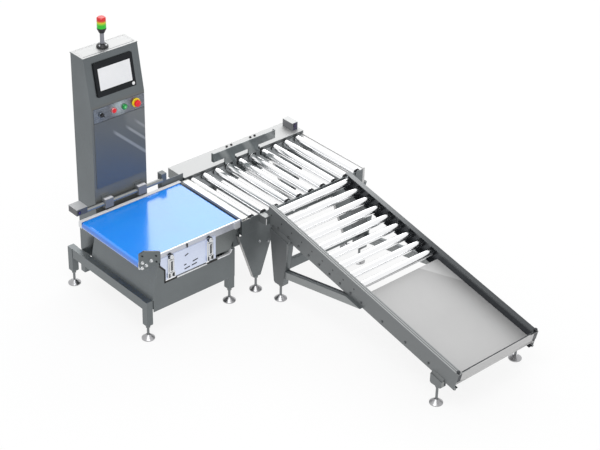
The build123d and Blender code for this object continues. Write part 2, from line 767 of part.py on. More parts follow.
# Pusher carriage: two bored blocks on the guide rods, their stems between the rollers, and a tie
with BuildPart() as pusher_carriage:
    for x in arm_xs:
        box_between((x - stem_width / 2, stem_y, guide_z + 18),
                    (x + stem_width / 2, stem_y + stem_depth, arm_low + stem_lap))
        box_between((x - 24, carriage_front_y, guide_z - 20), (x + 24, carriage_front_y + carriage_depth, guide_z + 20))
    box_between((arm_xs[0] - 24, carriage_front_y, guide_z + 12),
                (arm_xs[1] + 24, carriage_front_y + carriage_depth, guide_z + 20))
    for x in arm_xs:
        with Locations(Location((x, carriage_front_y + carriage_depth / 2, guide_z), (90, 0, 0))):
            Cylinder(guide_radius + running_gap, carriage_depth + 2, mode=Mode.SUBTRACT)
save(pusher_carriage.part, "pusher_carriage")

# Guides of the pusher: two rods and the rodless cylinder between them
cylinder_x = sum(arm_xs) / 2
with BuildPart() as pusher_guides:
    for x in arm_xs:
        with Locations(Location((x, (frame_front_y + cover_front_y) / 2, guide_z), (90, 0, 0))):
            Cylinder(guide_radius, cover_front_y - frame_front_y)
    box_between((cylinder_x - 25, inner_front_y, side_bottom - 12), (cylinder_x + 25, rear_plate_y, guide_z + 12 - slide_gap))
save(pusher_guides.part, "pusher_guides")

# Chute frame of reference: local x across, local y up the slope, local z square to it
slope = radians(chute_angle)
chute_plane = Plane(origin=(0, chute_first_y, chute_first_z), x_dir=(1, 0, 0), z_dir=(0, -sin(slope), cos(slope)))
rail_low_y = rail_upper_end - rail_length
chute_under = chute_plane.offset(-rail_below_axis)
roller_ys = [-chute_pitch * i for i in range(chute_roller_count)]

# Legs: tapered folded sheets, open at the back, with flanges along both edges and a foot plate
flange_spread = sheet * sqrt(1 + section_leg_spread ** 2)
section_leg_faces = [(x, y, back) for x in leg_xs for y, back in ((frame_front_y, leg_flange), (cover_front_y, -leg_flange))]
with BuildPart() as section_legs:
    half_foot = section_leg_foot_width / 2
    half_top = half_foot + section_leg_spread * (side_bottom - section_leg_bottom)
    for x, y, back in section_leg_faces:
        with BuildSketch(Plane.XZ.offset(-y)):
            with BuildLine():
                Polyline((x - half_foot, section_leg_bottom), (x + half_foot, section_leg_bottom),
                         (x + half_top, side_bottom), (x - half_top, side_bottom), close=True)
            make_face()
        extrude(amount=-back)
    for x, y, back in section_leg_faces:
        inside_y = y + (sheet if back > 0 else -sheet)
        with BuildSketch(Plane.XZ.offset(-inside_y)):
            with BuildLine():
                Polyline((x - half_foot + flange_spread, section_leg_bottom + sheet),
                         (x + half_foot - flange_spread, section_leg_bottom + sheet),
                         (x + half_top - flange_spread, side_bottom + 1),
                         (x - half_top + flange_spread, side_bottom + 1), close=True)
            make_face()
        extrude(amount=-back, mode=Mode.SUBTRACT)
save(section_legs.part, "section_legs")

# Chute supports: four legs, a tie bar between the upper two, and a brace from each of them up to its rail
chute_leg_top = chute_first_z
brace_low_z = brace_foot_z - brace_depth / 2
brace_high_z = brace_foot_z + brace_depth / 2
brace_start_y = chute_leg_y - brace_size / 2
brace_end_y = chute_leg_y - chute_leg_foot_width / 2 - brace_run
half_foot = chute_leg_foot_width / 2
half_top = half_foot + chute_leg_spread * (chute_leg_top - chute_leg_bottom)
half_channel = brace_size / 2 + sheet
lower_half = lower_leg_width / 2
with BuildPart() as chute_supports:
    for x in (chute_left_x, chute_right_x):
        with BuildSketch(Plane.YZ.offset(x - half_channel)):
            with BuildLine():
                Polyline((chute_leg_y - half_foot, chute_leg_bottom + leg_corner),
                         (chute_leg_y - half_foot + leg_corner, chute_leg_bottom),
                         (chute_leg_y + half_foot - leg_corner, chute_leg_bottom),
                         (chute_leg_y + half_foot, chute_leg_bottom + leg_corner),
                         (chute_leg_y + half_top, chute_leg_top), (chute_leg_y - half_top, chute_leg_top), close=True)
            make_face()
        extrude(amount=2 * half_channel)
        with BuildSketch(Plane.YZ.offset(x - half_channel + sheet)):
            with BuildLine():
                Polyline((chute_leg_y - half_foot - 1, chute_leg_bottom + sheet),
                         (chute_leg_y + half_foot - leg_corner - 1, chute_leg_bottom + sheet),
                         (chute_leg_y + half_foot - sheet, chute_leg_bottom + leg_corner + 1),
                         (chute_leg_y + half_top - sheet, chute_leg_top + 1),
                         (chute_leg_y - half_top - 1, chute_leg_top + 1), close=True)
            make_face()
        extrude(amount=2 * half_channel - 2 * sheet, mode=Mode.SUBTRACT)
    for x, side in ((chute_left_x, 1), (chute_right_x, -1)):
        with BuildSketch(Plane.YZ.offset(x - side * lower_leg_flange / 2)):
            with BuildLine():
                Polyline((lower_leg_y - lower_half, lower_leg_bottom + leg_corner),
                         (lower_leg_y - lower_half + leg_corner, lower_leg_bottom),
                         (lower_leg_y + lower_half - leg_corner, lower_leg_bottom),
                         (lower_leg_y + lower_half, lower_leg_bottom + leg_corner),
                         (lower_leg_y + lower_half, chute_leg_top), (lower_leg_y - lower_half, chute_leg_top), close=True)
            make_face()
        extrude(amount=side * lower_leg_flange)
        with BuildSketch(Plane.YZ.offset(x - side * lower_leg_flange / 2 + side * sheet)):
            with BuildLine():
                Polyline((lower_leg_y - lower_half + leg_corner, lower_leg_bottom + sheet),
                         (lower_leg_y + lower_half - leg_corner, lower_leg_bottom + sheet),
                         (lower_leg_y + lower_half - sheet, lower_leg_bottom + leg_corner),
                         (lower_leg_y + lower_half - sheet, chute_leg_top + 1),
                         (lower_leg_y - lower_half + sheet, chute_leg_top + 1),
                         (lower_leg_y - lower_half + sheet, lower_leg_bottom + leg_corner), close=True)
            make_face()
        extrude(amount=side * lower_leg_flange, mode=Mode.SUBTRACT)
    for x in (chute_left_x, chute_right_x):
        with BuildSketch(Plane.YZ.offset(x - brace_size / 2)):
            with BuildLine():
                Polyline((brace_start_y, brace_low_z), (brace_start_y, brace_high_z),
                         (brace_end_y, brace_high_z + brace_rise), (brace_end_y, brace_low_z + brace_rise), close=True)
            make_face()
        extrude(amount=brace_size)
    split(bisect_by=chute_under, keep=Keep.BOTTOM)
    tie_reach = half_channel - sheet
    box_between((chute_left_x + tie_reach, chute_leg_y - tie_bar_depth / 2, tie_bar_z - tie_bar_height / 2),
                (chute_right_x - tie_reach, chute_leg_y + tie_bar_depth / 2, tie_bar_z + tie_bar_height / 2))
save(chute_supports.part, "chute_supports")

# Chute frame: inward facing channels with a bearing block at each roller end, a hook box on each at
# the roller section, and the end stop
hook_top = chute_first_z - 8
hook_front_y = chute_first_y + 12
with BuildPart() as chute_frame:
    for x, side in ((chute_left_x, 1), (chute_right_x, -1)):
        with BuildSketch(chute_plane.offset(-rail_below_axis)):
            with Locations((x + side * sheet / 2, rail_upper_end - rail_length / 2)):
                Rectangle(sheet, rail_length)
        extrude(amount=rail_above_axis + rail_below_axis)
        for level in (-rail_below_axis, rail_above_axis - sheet):
            with BuildSketch(chute_plane.offset(level)):
                with Locations((x + side * rail_flange / 2, rail_upper_end - rail_length / 2)):
                    Rectangle(rail_flange, rail_length)
            extrude(amount=sheet)
        box_between((min(x, x - side * hook_width), hook_front_y, hook_top - hook_height),
                    (max(x, x - side * hook_width), frame_front_y, hook_top))
    for x, side in ((chute_left_x, 1), (chute_right_x, -1)):
        with Locations(chute_plane):
            with Locations(*[(x + side * (sheet + bearing_length / 2), y, 0) for y in roller_ys]):
                Box(bearing_length, bearing_width, bearing_height)
            with Locations(*[Location((x, y, 0), (0, 90, 0)) for y in roller_ys]):
                Cylinder(roller_journal + running_gap, 4 * bearing_length, mode=Mode.SUBTRACT)
    with BuildSketch(chute_plane.offset(rail_above_axis - stop_height)):
        with Locations((chute_left_x + chute_width / 2, rail_low_y - sheet / 2)):
            Rectangle(chute_width, sheet)
    extrude(amount=stop_height)
    with BuildSketch(chute_plane.offset(rail_above_axis - sheet)):
        with Locations((chute_left_x + chute_width / 2, rail_low_y + stop_fold / 2 - sheet)):
            Rectangle(chute_width, stop_fold)
    extrude(amount=sheet)
save(chute_frame.part, "chute_frame")

# Gravity rollers
chute_face = chute_width - 2 * (sheet + bearing_length + slide_gap)
for i, y in enumerate(roller_ys):
    with BuildPart() as roller:
        with Locations(chute_plane):
            with Locations(Location((chute_left_x + chute_width / 2, y, 0), (0, 90, 0))):
                Cylinder(chute_roller_radius, chute_face)
                Cylinder(roller_journal, chute_width - 0.4)
    save(roller.part, f"chute_roller_{i + 1}")

# Tray: a flat pan between the rails, standing on their lower flanges
tray_start = roller_ys[-1] - tray_gap
tray_end = rail_low_y + 1
tray_left = chute_left_x + sheet
tray_right = chute_right_x - sheet
with BuildPart() as chute_tray:
    with BuildSketch(chute_plane.offset(-tray_below_axis - sheet)):
        with Locations(((tray_left + tray_right) / 2, (tray_start + tray_end) / 2)):
            Rectangle(tray_right - tray_left, tray_start - tray_end)
    extrude(amount=sheet)
    with BuildSketch(chute_plane.offset(-rail_below_axis + sheet)):
        for x in (tray_left + sheet / 2, tray_right - sheet / 2):
            with Locations((x, (tray_start + tray_end) / 2)):
                Rectangle(sheet, tray_start - tray_end)
        with Locations(((tray_left + tray_right) / 2, tray_start - sheet / 2)):
            Rectangle(tray_right - tray_left, sheet)
    extrude(amount=rail_below_axis - tray_below_axis - 2 * sheet)
save(chute_tray.part, "chute_tray")

# Levelling feet under all twelve legs
rear_foot_y = cover_front_y - leg_flange / 2
section_feet = [(x, y, section_leg_bottom) for x in leg_xs for y in (frame_front_y + leg_flange / 2, rear_foot_y)]
chute_feet = [(x, y, z) for x in (chute_left_x, chute_right_x)
              for y, z in ((chute_leg_y, chute_leg_bottom), (lower_leg_y, lower_leg_bottom))]
weigh_feet = [(x, y, leg_bottom) for x, y in leg_points]
with BuildPart() as levelling_feet:
    for x, y, top in weigh_feet + section_feet + chute_feet:
        with BuildSketch(Plane(origin=(x, y, 0), x_dir=(1, 0, 0), z_dir=(0, -1, 0))):
            with BuildLine():
                Polyline((0, 0), (foot_radius, 0), (foot_radius, foot_rim), (foot_neck_radius, foot_cone_top),
                         (stem_radius, foot_cone_top), (stem_radius, top), (0, top), close=True)
            make_face()
        revolve(axis=Axis((x, y, 0), (0, 0, 1)))
        with BuildSketch(Plane.XY.offset(top - nut_height)):
            with Locations((x, y)):
                RegularPolygon(nut_radius, 6)
        extrude(amount=nut_height)
save(levelling_feet.part, "levelling_feet")
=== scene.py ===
import math

import bpy
from mathutils import Matrix, Vector


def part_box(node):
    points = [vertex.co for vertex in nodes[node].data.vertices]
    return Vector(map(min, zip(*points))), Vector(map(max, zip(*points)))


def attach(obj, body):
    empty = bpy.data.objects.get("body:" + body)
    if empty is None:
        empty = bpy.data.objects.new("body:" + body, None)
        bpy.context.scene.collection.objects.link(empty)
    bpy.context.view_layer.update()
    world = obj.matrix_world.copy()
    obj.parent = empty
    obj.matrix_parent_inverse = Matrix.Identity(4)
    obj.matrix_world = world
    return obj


# Looks of the checkweigher. Metres, +X is the flow direction, -Y the side the chute leaves by, +Z up.
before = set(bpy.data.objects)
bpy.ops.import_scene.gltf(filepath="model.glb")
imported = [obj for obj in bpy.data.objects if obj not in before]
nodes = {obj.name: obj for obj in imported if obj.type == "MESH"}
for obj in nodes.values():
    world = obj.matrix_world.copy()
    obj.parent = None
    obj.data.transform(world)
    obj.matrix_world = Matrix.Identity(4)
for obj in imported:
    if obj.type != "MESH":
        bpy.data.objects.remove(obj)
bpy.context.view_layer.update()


# Materials

WIDE, NARROW = (0.3, 0.7), (0.35, 0.65)  # spans of a noise that a change of tone is spread over


class Shader:
    """A Principled material with short names for the nodes it is built from."""

    def __init__(self, name, **constants):
        self.material = bpy.data.materials.new(name)
        self.material.use_nodes = True
        self.tree = self.material.node_tree
        self.bsdf = self.tree.nodes["Principled BSDF"]
        for socket, value in constants.items():
            self.bsdf.inputs[socket.replace("_", " ")].default_value = value
        self.coords = self.add("ShaderNodeTexCoord").outputs["Object"]

    def add(self, kind, **settings):
        """A new node with those settings."""
        node = self.tree.nodes.new(kind)
        for key, value in settings.items():
            setattr(node, key, value)
        return node

    def feed(self, socket, value):
        """Links an output to a socket, or gives the socket a plain value."""
        if isinstance(value, bpy.types.NodeSocket):
            self.tree.links.new(value, socket)
        else:
            socket.default_value = value

    def set(self, name, value):
        self.feed(self.bsdf.inputs[name], value)

    def noise(self, scale, stretch=(1, 1, 1), detail=4.0, roughness=0.55):
        """Noise through the piece, finer along the axes with a higher stretch."""
        mapping = self.add("ShaderNodeMapping")
        mapping.inputs["Scale"].default_value = stretch
        self.feed(mapping.inputs["Vector"], self.coords)
        noise = self.add("ShaderNodeTexNoise")
        self.feed(noise.inputs["Vector"], mapping.outputs["Vector"])
        noise.inputs["Scale"].default_value = scale
        noise.inputs["Detail"].default_value = detail
        noise.inputs["Roughness"].default_value = roughness
        return noise.outputs["Fac"]

    def range(self, value, low, high, to_low=0.0, to_high=1.0):
        """The value, mapped so that low gives to_low and high gives to_high."""
        node = self.add("ShaderNodeMapRange")
        for name, number in zip(("Value", "From Min", "From Max", "To Min", "To Max"),
                                (value, low, high, to_low, to_high)):
            self.feed(node.inputs[name], number)
        return node.outputs["Result"]

    def math(self, operation, first, second=0.0):
        node = self.add("ShaderNodeMath", operation=operation)
        self.feed(node.inputs[0], first)
        self.feed(node.inputs[1], second)
        return node.outputs[0]

    def both(self, first, second):
        """1 where both masks are 1."""
        return self.math("MULTIPLY", first, second)

    def either(self, first, second):
        """1 where at least one mask is 1."""
        return self.math("MAXIMUM", first, second)

    def apart(self, value, level):
        """How far the value is from the level."""
        return self.math("ABSOLUTE", self.math("SUBTRACT", value, level))

    def mix(self, factor, first, second):
        """A blend of two colours; the mix node keeps its colours at inputs 6 and 7 and output 2."""
        node = self.add("ShaderNodeMix", data_type="RGBA")
        self.feed(node.inputs["Factor"], factor)
        for index, colour in ((6, first), (7, second)):
            linked = isinstance(colour, bpy.types.NodeSocket)
            self.feed(node.inputs[index], colour if linked else (*colour, 1))
        return node.outputs[2]

    def axis(self, letter):
        """The coordinate along one axis, as the piece stands at rest."""
        node = self.add("ShaderNodeSeparateXYZ")
        self.feed(node.inputs[0], self.coords)
        return node.outputs[letter]

    def ramp(self, letter, none, full):
        """0 to 1 between two places along an axis."""
        return self.range(self.axis(letter), none, full)

    def between(self, letter, low, high, soft=0.0004):
        """1 where the coordinate lies between low and high."""
        value = self.axis(letter)
        return self.both(self.range(value, low - soft, low), self.range(value, high + soft, high))

    def facing(self, letter, side, none=0.85, full=0.93):
        """1 where the surface looks to one side, 1 or -1, of an axis of the machine."""
        geometry = self.add("ShaderNodeNewGeometry")
        split = self.add("ShaderNodeSeparateXYZ")
        self.feed(split.inputs[0], geometry.outputs["True Normal"])
        return self.range(split.outputs[letter], side * none, side * full)

    def bump(self, height, strength, distance=0.001):
        """Fine relief."""
        node = self.add("ShaderNodeBump")
        node.inputs["Strength"].default_value = strength
        node.inputs["Distance"].default_value = distance
        self.feed(node.inputs["Height"], height)
        self.set("Normal", node.outputs["Normal"])

    def edges(self, radius):
        """1 on the edges of the shape, 0 on its flats."""
        bevel = self.add("ShaderNodeBevel", samples=4)
        bevel.inputs["Radius"].default_value = radius
        geometry = self.add("ShaderNodeNewGeometry")
        dot = self.add("ShaderNodeVectorMath", operation="DOT_PRODUCT")
        self.feed(dot.inputs[0], bevel.outputs["Normal"])
        self.feed(dot.inputs[1], geometry.outputs["Normal"])
        return self.range(dot.outputs["Value"], 0.99, 0.85)

    def tint(self, mask, colour):
        """Recolours the material where the mask is 1."""
        old = self.bsdf.inputs["Base Color"].links[0].from_socket
        self.set("Base Color", self.mix(mask, old, colour))

    def roughen(self, mask, value):
        """Gives the material at least this roughness where the mask is 1."""
        old = self.bsdf.inputs["Roughness"].links[0].from_socket
        self.set("Roughness", self.math("MAXIMUM", old, self.math("MULTIPLY", mask, value)))

    def dull(self, mask, metallic):
        """Lowers how metallic the material is where the mask is 1."""
        self.set("Metallic", self.range(mask, 0.0, 1.0, 1.0, metallic))


def shade(colour, amount):
    """A brighter or darker colour."""
    return tuple(min(1.0, channel * amount) for channel in colour)


def metal(name, colour, rough, grain=(1, 1, 40), scale=60, spread=0.12, wear=1.5, metallic=1.0):
    """Sheet or bar metal: long fine grain, slow blotches, brighter worn edges."""
    shader = Shader(name, Metallic=metallic)
    fine = shader.noise(scale, grain, 6.0, 0.6)
    slow = shader.noise(3.0, detail=3.0)
    tone = shader.math("ADD", shader.math("MULTIPLY", fine, 0.5), shader.math("MULTIPLY", slow, 0.5))
    base = shader.mix(shader.range(tone, *NARROW), shade(colour, 1 - spread), shade(colour, 1 + spread))
    worn = shader.both(shader.edges(0.0015), shader.range(shader.noise(25.0), 0.35, 0.6))
    shader.set("Base Color", shader.mix(worn, base, shade(colour, wear)))
    shader.set("Roughness", shader.range(fine, *WIDE, rough - 0.06, rough + 0.08))
    shader.bump(fine, 0.05)
    return shader


def plastic(name, colour, rough, **constants):
    """Moulded or painted surface: fine grain and slight tone changes."""
    shader = Shader(name, **constants)
    fine = shader.noise(900.0, detail=2.0)
    slow = shader.noise(12.0, detail=3.0)
    base = shader.mix(shader.range(slow, *NARROW), shade(colour, 0.9), shade(colour, 1.1))
    rub = shader.math("MULTIPLY", shader.edges(0.001), 0.25)
    shader.set("Base Color", shader.mix(rub, base, shade(colour, 1.5)))
    shader.set("Roughness", shader.range(slow, *WIDE, rough - 0.04, rough + 0.06))
    shader.bump(fine, 0.08, 0.0004)
    return shader


def roller_metal(name, axis, low, high, cap):
    """Ground tube from low to high: fine rings round the axis, a black cap of that length at each end."""
    edge = 0.0004
    shader = Shader(name)
    stretch = tuple(60 if letter == axis else 2 for letter in "XYZ")
    rings = shader.noise(14.0, stretch, 5.0, 0.6)
    base = shader.mix(shader.range(rings, *WIDE), (0.88, 0.89, 0.90), (0.97, 0.97, 0.98))
    along = shader.axis(axis)
    capped = shader.either(shader.range(along, low + cap, low + cap - edge),
                           shader.range(along, high - cap, high - cap + edge))
    shader.set("Base Color", shader.mix(capped, base, (0.030, 0.032, 0.035)))
    shader.set("Metallic", shader.math("SUBTRACT", 1.0, capped))
    shader.set("Roughness", shader.range(rings, *WIDE, 0.12, 0.20))
    shader.roughen(capped, 0.4)
    shader.bump(rings, 0.03)
    return shader


frame_colour = (0.160, 0.176, 0.182)
frame_steel = metal("frame_steel", frame_colour, 0.32, metallic=0.7)
chute_steel = metal("chute_steel", frame_colour, 0.36, grain=(40, 1, 40), metallic=0.5)
leg_steel = metal("leg_steel", frame_colour, 0.34, grain=(40, 40, 1), metallic=0.5)
strip_steel = metal("strip_steel", (0.200, 0.212, 0.238), 0.28, grain=(1, 40, 40))
foot_steel = metal("foot_steel", (0.42, 0.42, 0.43), 0.30, grain=(1, 1, 10), scale=120, wear=1.4)
clamp_steel = metal("clamp_steel", (0.22, 0.23, 0.24), 0.45, grain=(1, 1, 10), scale=120, wear=1.3,
                    metallic=0.2)
section_steel = metal("section_steel", frame_colour, 0.32, grain=(1, 40, 40), metallic=0.5)
case_steel = metal("case_steel", (0.215, 0.230, 0.232), 0.30, grain=(1, 40, 40))
cover_steel = metal("cover_steel", (0.20, 0.21, 0.21), 0.26, grain=(1, 40, 40))
blade_steel = metal("blade_steel", (0.140, 0.158, 0.163), 0.36, grain=(1, 1, 30))
cabinet_steel = metal("cabinet_steel", (0.150, 0.166, 0.174), 0.30, grain=(40, 40, 1))
bright_steel = metal("bright_steel", (0.72, 0.73, 0.74), 0.16, grain=(1, 1, 10), scale=120, wear=1.2)
zinc_steel = metal("zinc_steel", (0.50, 0.51, 0.53), 0.22, grain=(1, 1, 1), scale=300, wear=1.3)
aluminium = metal("aluminium", (0.66, 0.67, 0.68), 0.30, grain=(1, 30, 30), wear=1.2)
lavender_plate = metal("lavender_plate", (0.70, 0.76, 0.95), 0.35, grain=(1, 30, 30), wear=1.2)
rod_steel = metal("rod_steel", (0.315, 0.325, 0.322), 0.28, grain=(1, 40, 40))
tray_steel = metal("tray_steel", (0.50, 0.50, 0.50), 0.60, grain=(40, 1, 1), spread=0.04, wear=1.1,
                   metallic=0.15)
pale_steel = metal("pale_steel", (0.86, 0.87, 0.89), 0.40, grain=(1, 30, 30), wear=1.0, metallic=0.6)
bracket_steel = metal("bracket_steel", (0.150, 0.165, 0.172), 0.40, wear=2.0, metallic=0.3)
cap_steel = metal("cap_steel", (0.080, 0.087, 0.090), 0.45, wear=1.1, metallic=0.3)
dark_bracket = metal("dark_bracket", (0.163, 0.180, 0.186), 0.32, wear=2.4)
rail_bolt_steel = metal("rail_bolt_steel", (0.105, 0.112, 0.116), 0.45, wear=1.2, metallic=0.4)
dark_steel = metal("dark_steel", (0.060, 0.064, 0.068), 0.34, grain=(1, 1, 1), scale=300, wear=2.0)
black_plastic = plastic("black_plastic", (0.012, 0.012, 0.014), 0.42)
bezel_plastic = plastic("bezel_plastic", (0.012, 0.014, 0.016), 0.45, Specular_IOR_Level=0.15)
grey_plastic = plastic("grey_plastic", (0.16, 0.17, 0.18), 0.50)
# Black for the strips that are painted shade in the gaps along the panel's notch
shade_black = plastic("shade_black", (0.02, 0.02, 0.02), 0.65)
sensor_paint = plastic("sensor_paint", (0.115, 0.118, 0.125), 0.35)
red_plastic = plastic("red_plastic", (0.78, 0.010, 0.022), 0.35)
pale_green = plastic("pale_green", (0.26, 0.62, 0.32), 0.35)
green_plastic = plastic("green_plastic", (0.008, 0.38, 0.07), 0.35)
white_plastic = plastic("white_plastic", (0.75, 0.75, 0.75), 0.35)


def lens_plastic(name, colour):
    """Tinted lens with fine upright ribs."""
    shader = plastic(name, colour, 0.20, Specular_IOR_Level=0.5)
    shader.bump(shader.noise(70.0, (1, 1, 0.02), 1.0), 0.25)
    return shader


green_lens = lens_plastic("green_lens", (0.015, 0.50, 0.015))
amber_lens = lens_plastic("amber_lens", (0.80, 0.58, 0.01))
red_lens = lens_plastic("red_lens", (0.62, 0.012, 0.012))

lens_violet = plastic("lens_violet", (0.060, 0.020, 0.20), 0.12, Specular_IOR_Level=0.8)

# Belt: one blue with a slow drift, and a faint splice across it
splice_x = 0.41
belt = Shader("belt", Specular_IOR_Level=0.4, Coat_Weight=1.0, Coat_Roughness=0.13, Coat_IOR=1.75)
drift = belt.noise(4.0, detail=3.0)
splice = belt.range(belt.apart(belt.axis("X"), splice_x), 0.0018, 0.0008)
belt.set("Base Color", belt.mix(belt.range(drift, *WIDE), (0.002, 0.265, 1.0), (0.003, 0.300, 1.0)))
belt.tint(belt.math("MULTIPLY", splice, 0.25), (0.01, 0.12, 0.6))
belt.set("Roughness", belt.range(drift, *WIDE, 0.16, 0.24))
belt.bump(belt.noise(700.0, detail=2.0), 0.04, 0.0003)

screen = Shader("screen", Specular_IOR_Level=0.5, Coat_Weight=0.5, Coat_Roughness=0.03)
haze = screen.noise(9.0, detail=2.0)
screen.set("Base Color", screen.mix(screen.range(haze, *WIDE), (0.74, 0.75, 0.76), (0.80, 0.80, 0.81)))
screen.set("Roughness", screen.range(haze, *WIDE, 0.10, 0.16))

# Door: brushed sheet; on its front a pale field and three slanting bright lines, all painted reflections
door_steel = Shader("door_steel", Metallic=0.75)
door_grain = door_steel.noise(60.0, (40, 40, 1), 6.0)
door_x = door_steel.axis("X")
slant = door_steel.math("ADD", door_steel.axis("Z"), door_steel.math("MULTIPLY", door_x, 0.93))
door_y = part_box("cabinet_door")[0].y
door_front = door_steel.ramp("Y", door_y + 0.0012, door_y + 0.0004)


def reflection_line(level, first_x, width):
    """A painted reflection: a slanting bright line across the door, fading in at its upper end."""
    line = door_steel.range(door_steel.apart(slant, level), width, width * 0.35)
    return door_steel.both(line, door_steel.range(door_x, first_x - 0.015, first_x + 0.02))


def on_front(mask, share):
    """A share of the mask, on the door's front alone."""
    return door_steel.math("MULTIPLY", door_steel.both(mask, door_front), share)


strong_lines = door_steel.either(reflection_line(1.300, 0.240, 0.017), reflection_line(1.392, 0.335, 0.015))
faint_line = door_steel.math("MULTIPLY", reflection_line(1.475, 0.400, 0.015), 0.7)
lines = door_steel.either(strong_lines, faint_line)
reflected_field = door_steel.both(door_steel.range(slant, 1.385, 1.44), door_steel.range(door_x, 0.310, 0.345))
door_steel.set("Base Color", door_steel.mix(door_steel.noise(2.0), (0.150, 0.163, 0.170),
                                            (0.170, 0.182, 0.188)))
door_steel.tint(on_front(reflected_field, 0.5), (0.25, 0.26, 0.26))
door_steel.tint(on_front(lines, 0.75), (0.42, 0.43, 0.43))
door_steel.tint(door_steel.math("MULTIPLY", door_steel.edges(0.001), 0.6), (0.35, 0.37, 0.38))
door_steel.set("Roughness", door_steel.range(door_grain, *WIDE, 0.42, 0.52))
door_steel.bump(door_grain, 0.03)

# Rollers: a powered one's barrel starts behind its front journal, a free one's lies between its shaft ends
journal, barrel, shaft_end = 0.008, 0.588, 0.0318
barrel_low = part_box("roller_01")[0].y + journal
powered_roller = roller_metal("powered_roller", "Y", barrel_low, barrel_low + barrel, 0.008)
chute_low, chute_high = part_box("chute_roller_1")
gravity_roller = roller_metal("gravity_roller", "X", chute_low.x + shaft_end, chute_high.x - shaft_end, 0.005)


# Tones that lie on one side or end of a part, many of them painted highlights and painted shade. Sides go by
# the machine's axes, so facing() serves parts that stand still.

# Roller section: its bar by the belt is pale; its rear beam is painted lighter against its shade, and the
# strip at its outfeed end is a painted highlight
section_low, section_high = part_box("roller_frame")
end_x = section_high.x - 0.017
belt_bar = section_steel.both(section_steel.between("Z", 0.557, 0.60), section_steel.between("X", 0.70, 0.78))
section_steel.tint(belt_bar, (0.62, 0.62, 0.60))
section_steel.tint(section_steel.ramp("Y", 0.574, 0.577), (0.36, 0.38, 0.39))
section_steel.tint(section_steel.ramp("X", end_x, end_x + 0.0005), (0.56, 0.56, 0.56))

# Rear cover: painted highlight on its top, dull front
cover_top_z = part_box("rear_cover")[1].z
cover_top = cover_steel.ramp("Z", cover_top_z - 0.0006, cover_top_z - 0.0003)
cover_steel.tint(cover_top, (0.50, 0.505, 0.505))
cover_steel.roughen(cover_top, 0.6)
cover_front = cover_steel.both(cover_steel.facing("Y", -1), cover_steel.ramp("Y", 0.60, 0.59))
cover_steel.tint(cover_front, (0.140, 0.150, 0.156))
cover_steel.dull(cover_front, 0.4)

# Column: painted highlight on its roof; its front is dull, and darker from the screen up
column_front_y, screen_foot_z = 0.622, 1.28
roof_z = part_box("cabinet_shell")[1].z
roof = cabinet_steel.ramp("Z", roof_z - 0.0005, roof_z - 0.0001)
cabinet_steel.tint(roof, (0.47, 0.475, 0.475))
cabinet_steel.roughen(roof, 0.5)
column_front = cabinet_steel.both(cabinet_steel.facing("Y", -1),
                                  cabinet_steel.ramp("Y", column_front_y + 0.001, column_front_y - 0.001))
upper_front = cabinet_steel.both(column_front,
                                 cabinet_steel.ramp("Z", screen_foot_z - 0.01, screen_foot_z + 0.01))
cabinet_steel.tint(column_front, (0.155, 0.163, 0.160))
cabinet_steel.tint(upper_front, (0.108, 0.113, 0.112))
cabinet_steel.dull(column_front, 0.2)
cabinet_steel.roughen(column_front, 0.55)

# Weigh conveyor: bluish front, painted highlight on the dull top of the rear rail, painted shade on the turn
# of the belt at its infeed end, bright end caps on the drum brackets
aluminium.tint(aluminium.facing("Y", -1), (0.56, 0.58, 0.64))
rear_highlight = aluminium.both(aluminium.facing("Z", 1, 0.80, 0.90), aluminium.ramp("Y", 0.5605, 0.5615))
aluminium.tint(rear_highlight, (0.82, 0.82, 0.83))
aluminium.dull(rear_highlight, 0.1)
aluminium.roughen(rear_highlight, 0.65)
belt.tint(belt.ramp("X", -0.0560, -0.0640), (0.002, 0.150, 0.640))
bracket_caps = dark_bracket.either(dark_bracket.ramp("X", 0.20, 0.21), dark_bracket.ramp("Y", 0.20, 0.21))
dark_bracket.tint(bracket_caps, (0.70, 0.71, 0.74))

# Rod clamps: warmer front, a painted highlight on top as far as the middle of the rod
rod_low, rod_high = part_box("tie_rod")
rod_middle = (rod_low.y + rod_high.y) / 2
clamp_highlight = clamp_steel.both(clamp_steel.facing("Z", 1),
                             clamp_steel.ramp("Y", rod_middle + 0.004, rod_middle))
clamp_steel.tint(clamp_steel.facing("Y", -1), (0.240, 0.235, 0.230))
clamp_steel.tint(clamp_highlight, (0.88, 0.88, 0.92))

# Sensor boxes: painted highlights on their tops; the one at the outfeed is paler, with a violet end
at_outfeed = sensor_paint.ramp("X", 1.0, 1.1)
sensor_highlight = sensor_paint.facing("Z", 1)
sensor_paint.tint(at_outfeed, (0.155, 0.160, 0.168))
sensor_paint.tint(sensor_paint.ramp("X", 0.2, 0.1), (0.088, 0.090, 0.096))
sensor_paint.tint(sensor_paint.ramp("X", 1.688, 1.700), (0.050, 0.050, 0.090))
sensor_paint.tint(sensor_highlight, (0.40, 0.41, 0.42))
sensor_paint.tint(sensor_paint.both(sensor_highlight, at_outfeed), (0.62, 0.63, 0.63))

# Legs and feet: painted highlights on the sides towards the infeed, caps on the low legs painted paler
# against their shade, darker stems
leg_steel.tint(leg_steel.facing("X", -1), (0.48, 0.48, 0.48))
cap_steel.tint(cap_steel.ramp("Y", -0.90, -1.00), (0.150, 0.158, 0.160))
foot_steel.tint(foot_steel.ramp("Z", 0.0302, 0.0312), (0.20, 0.21, 0.215))

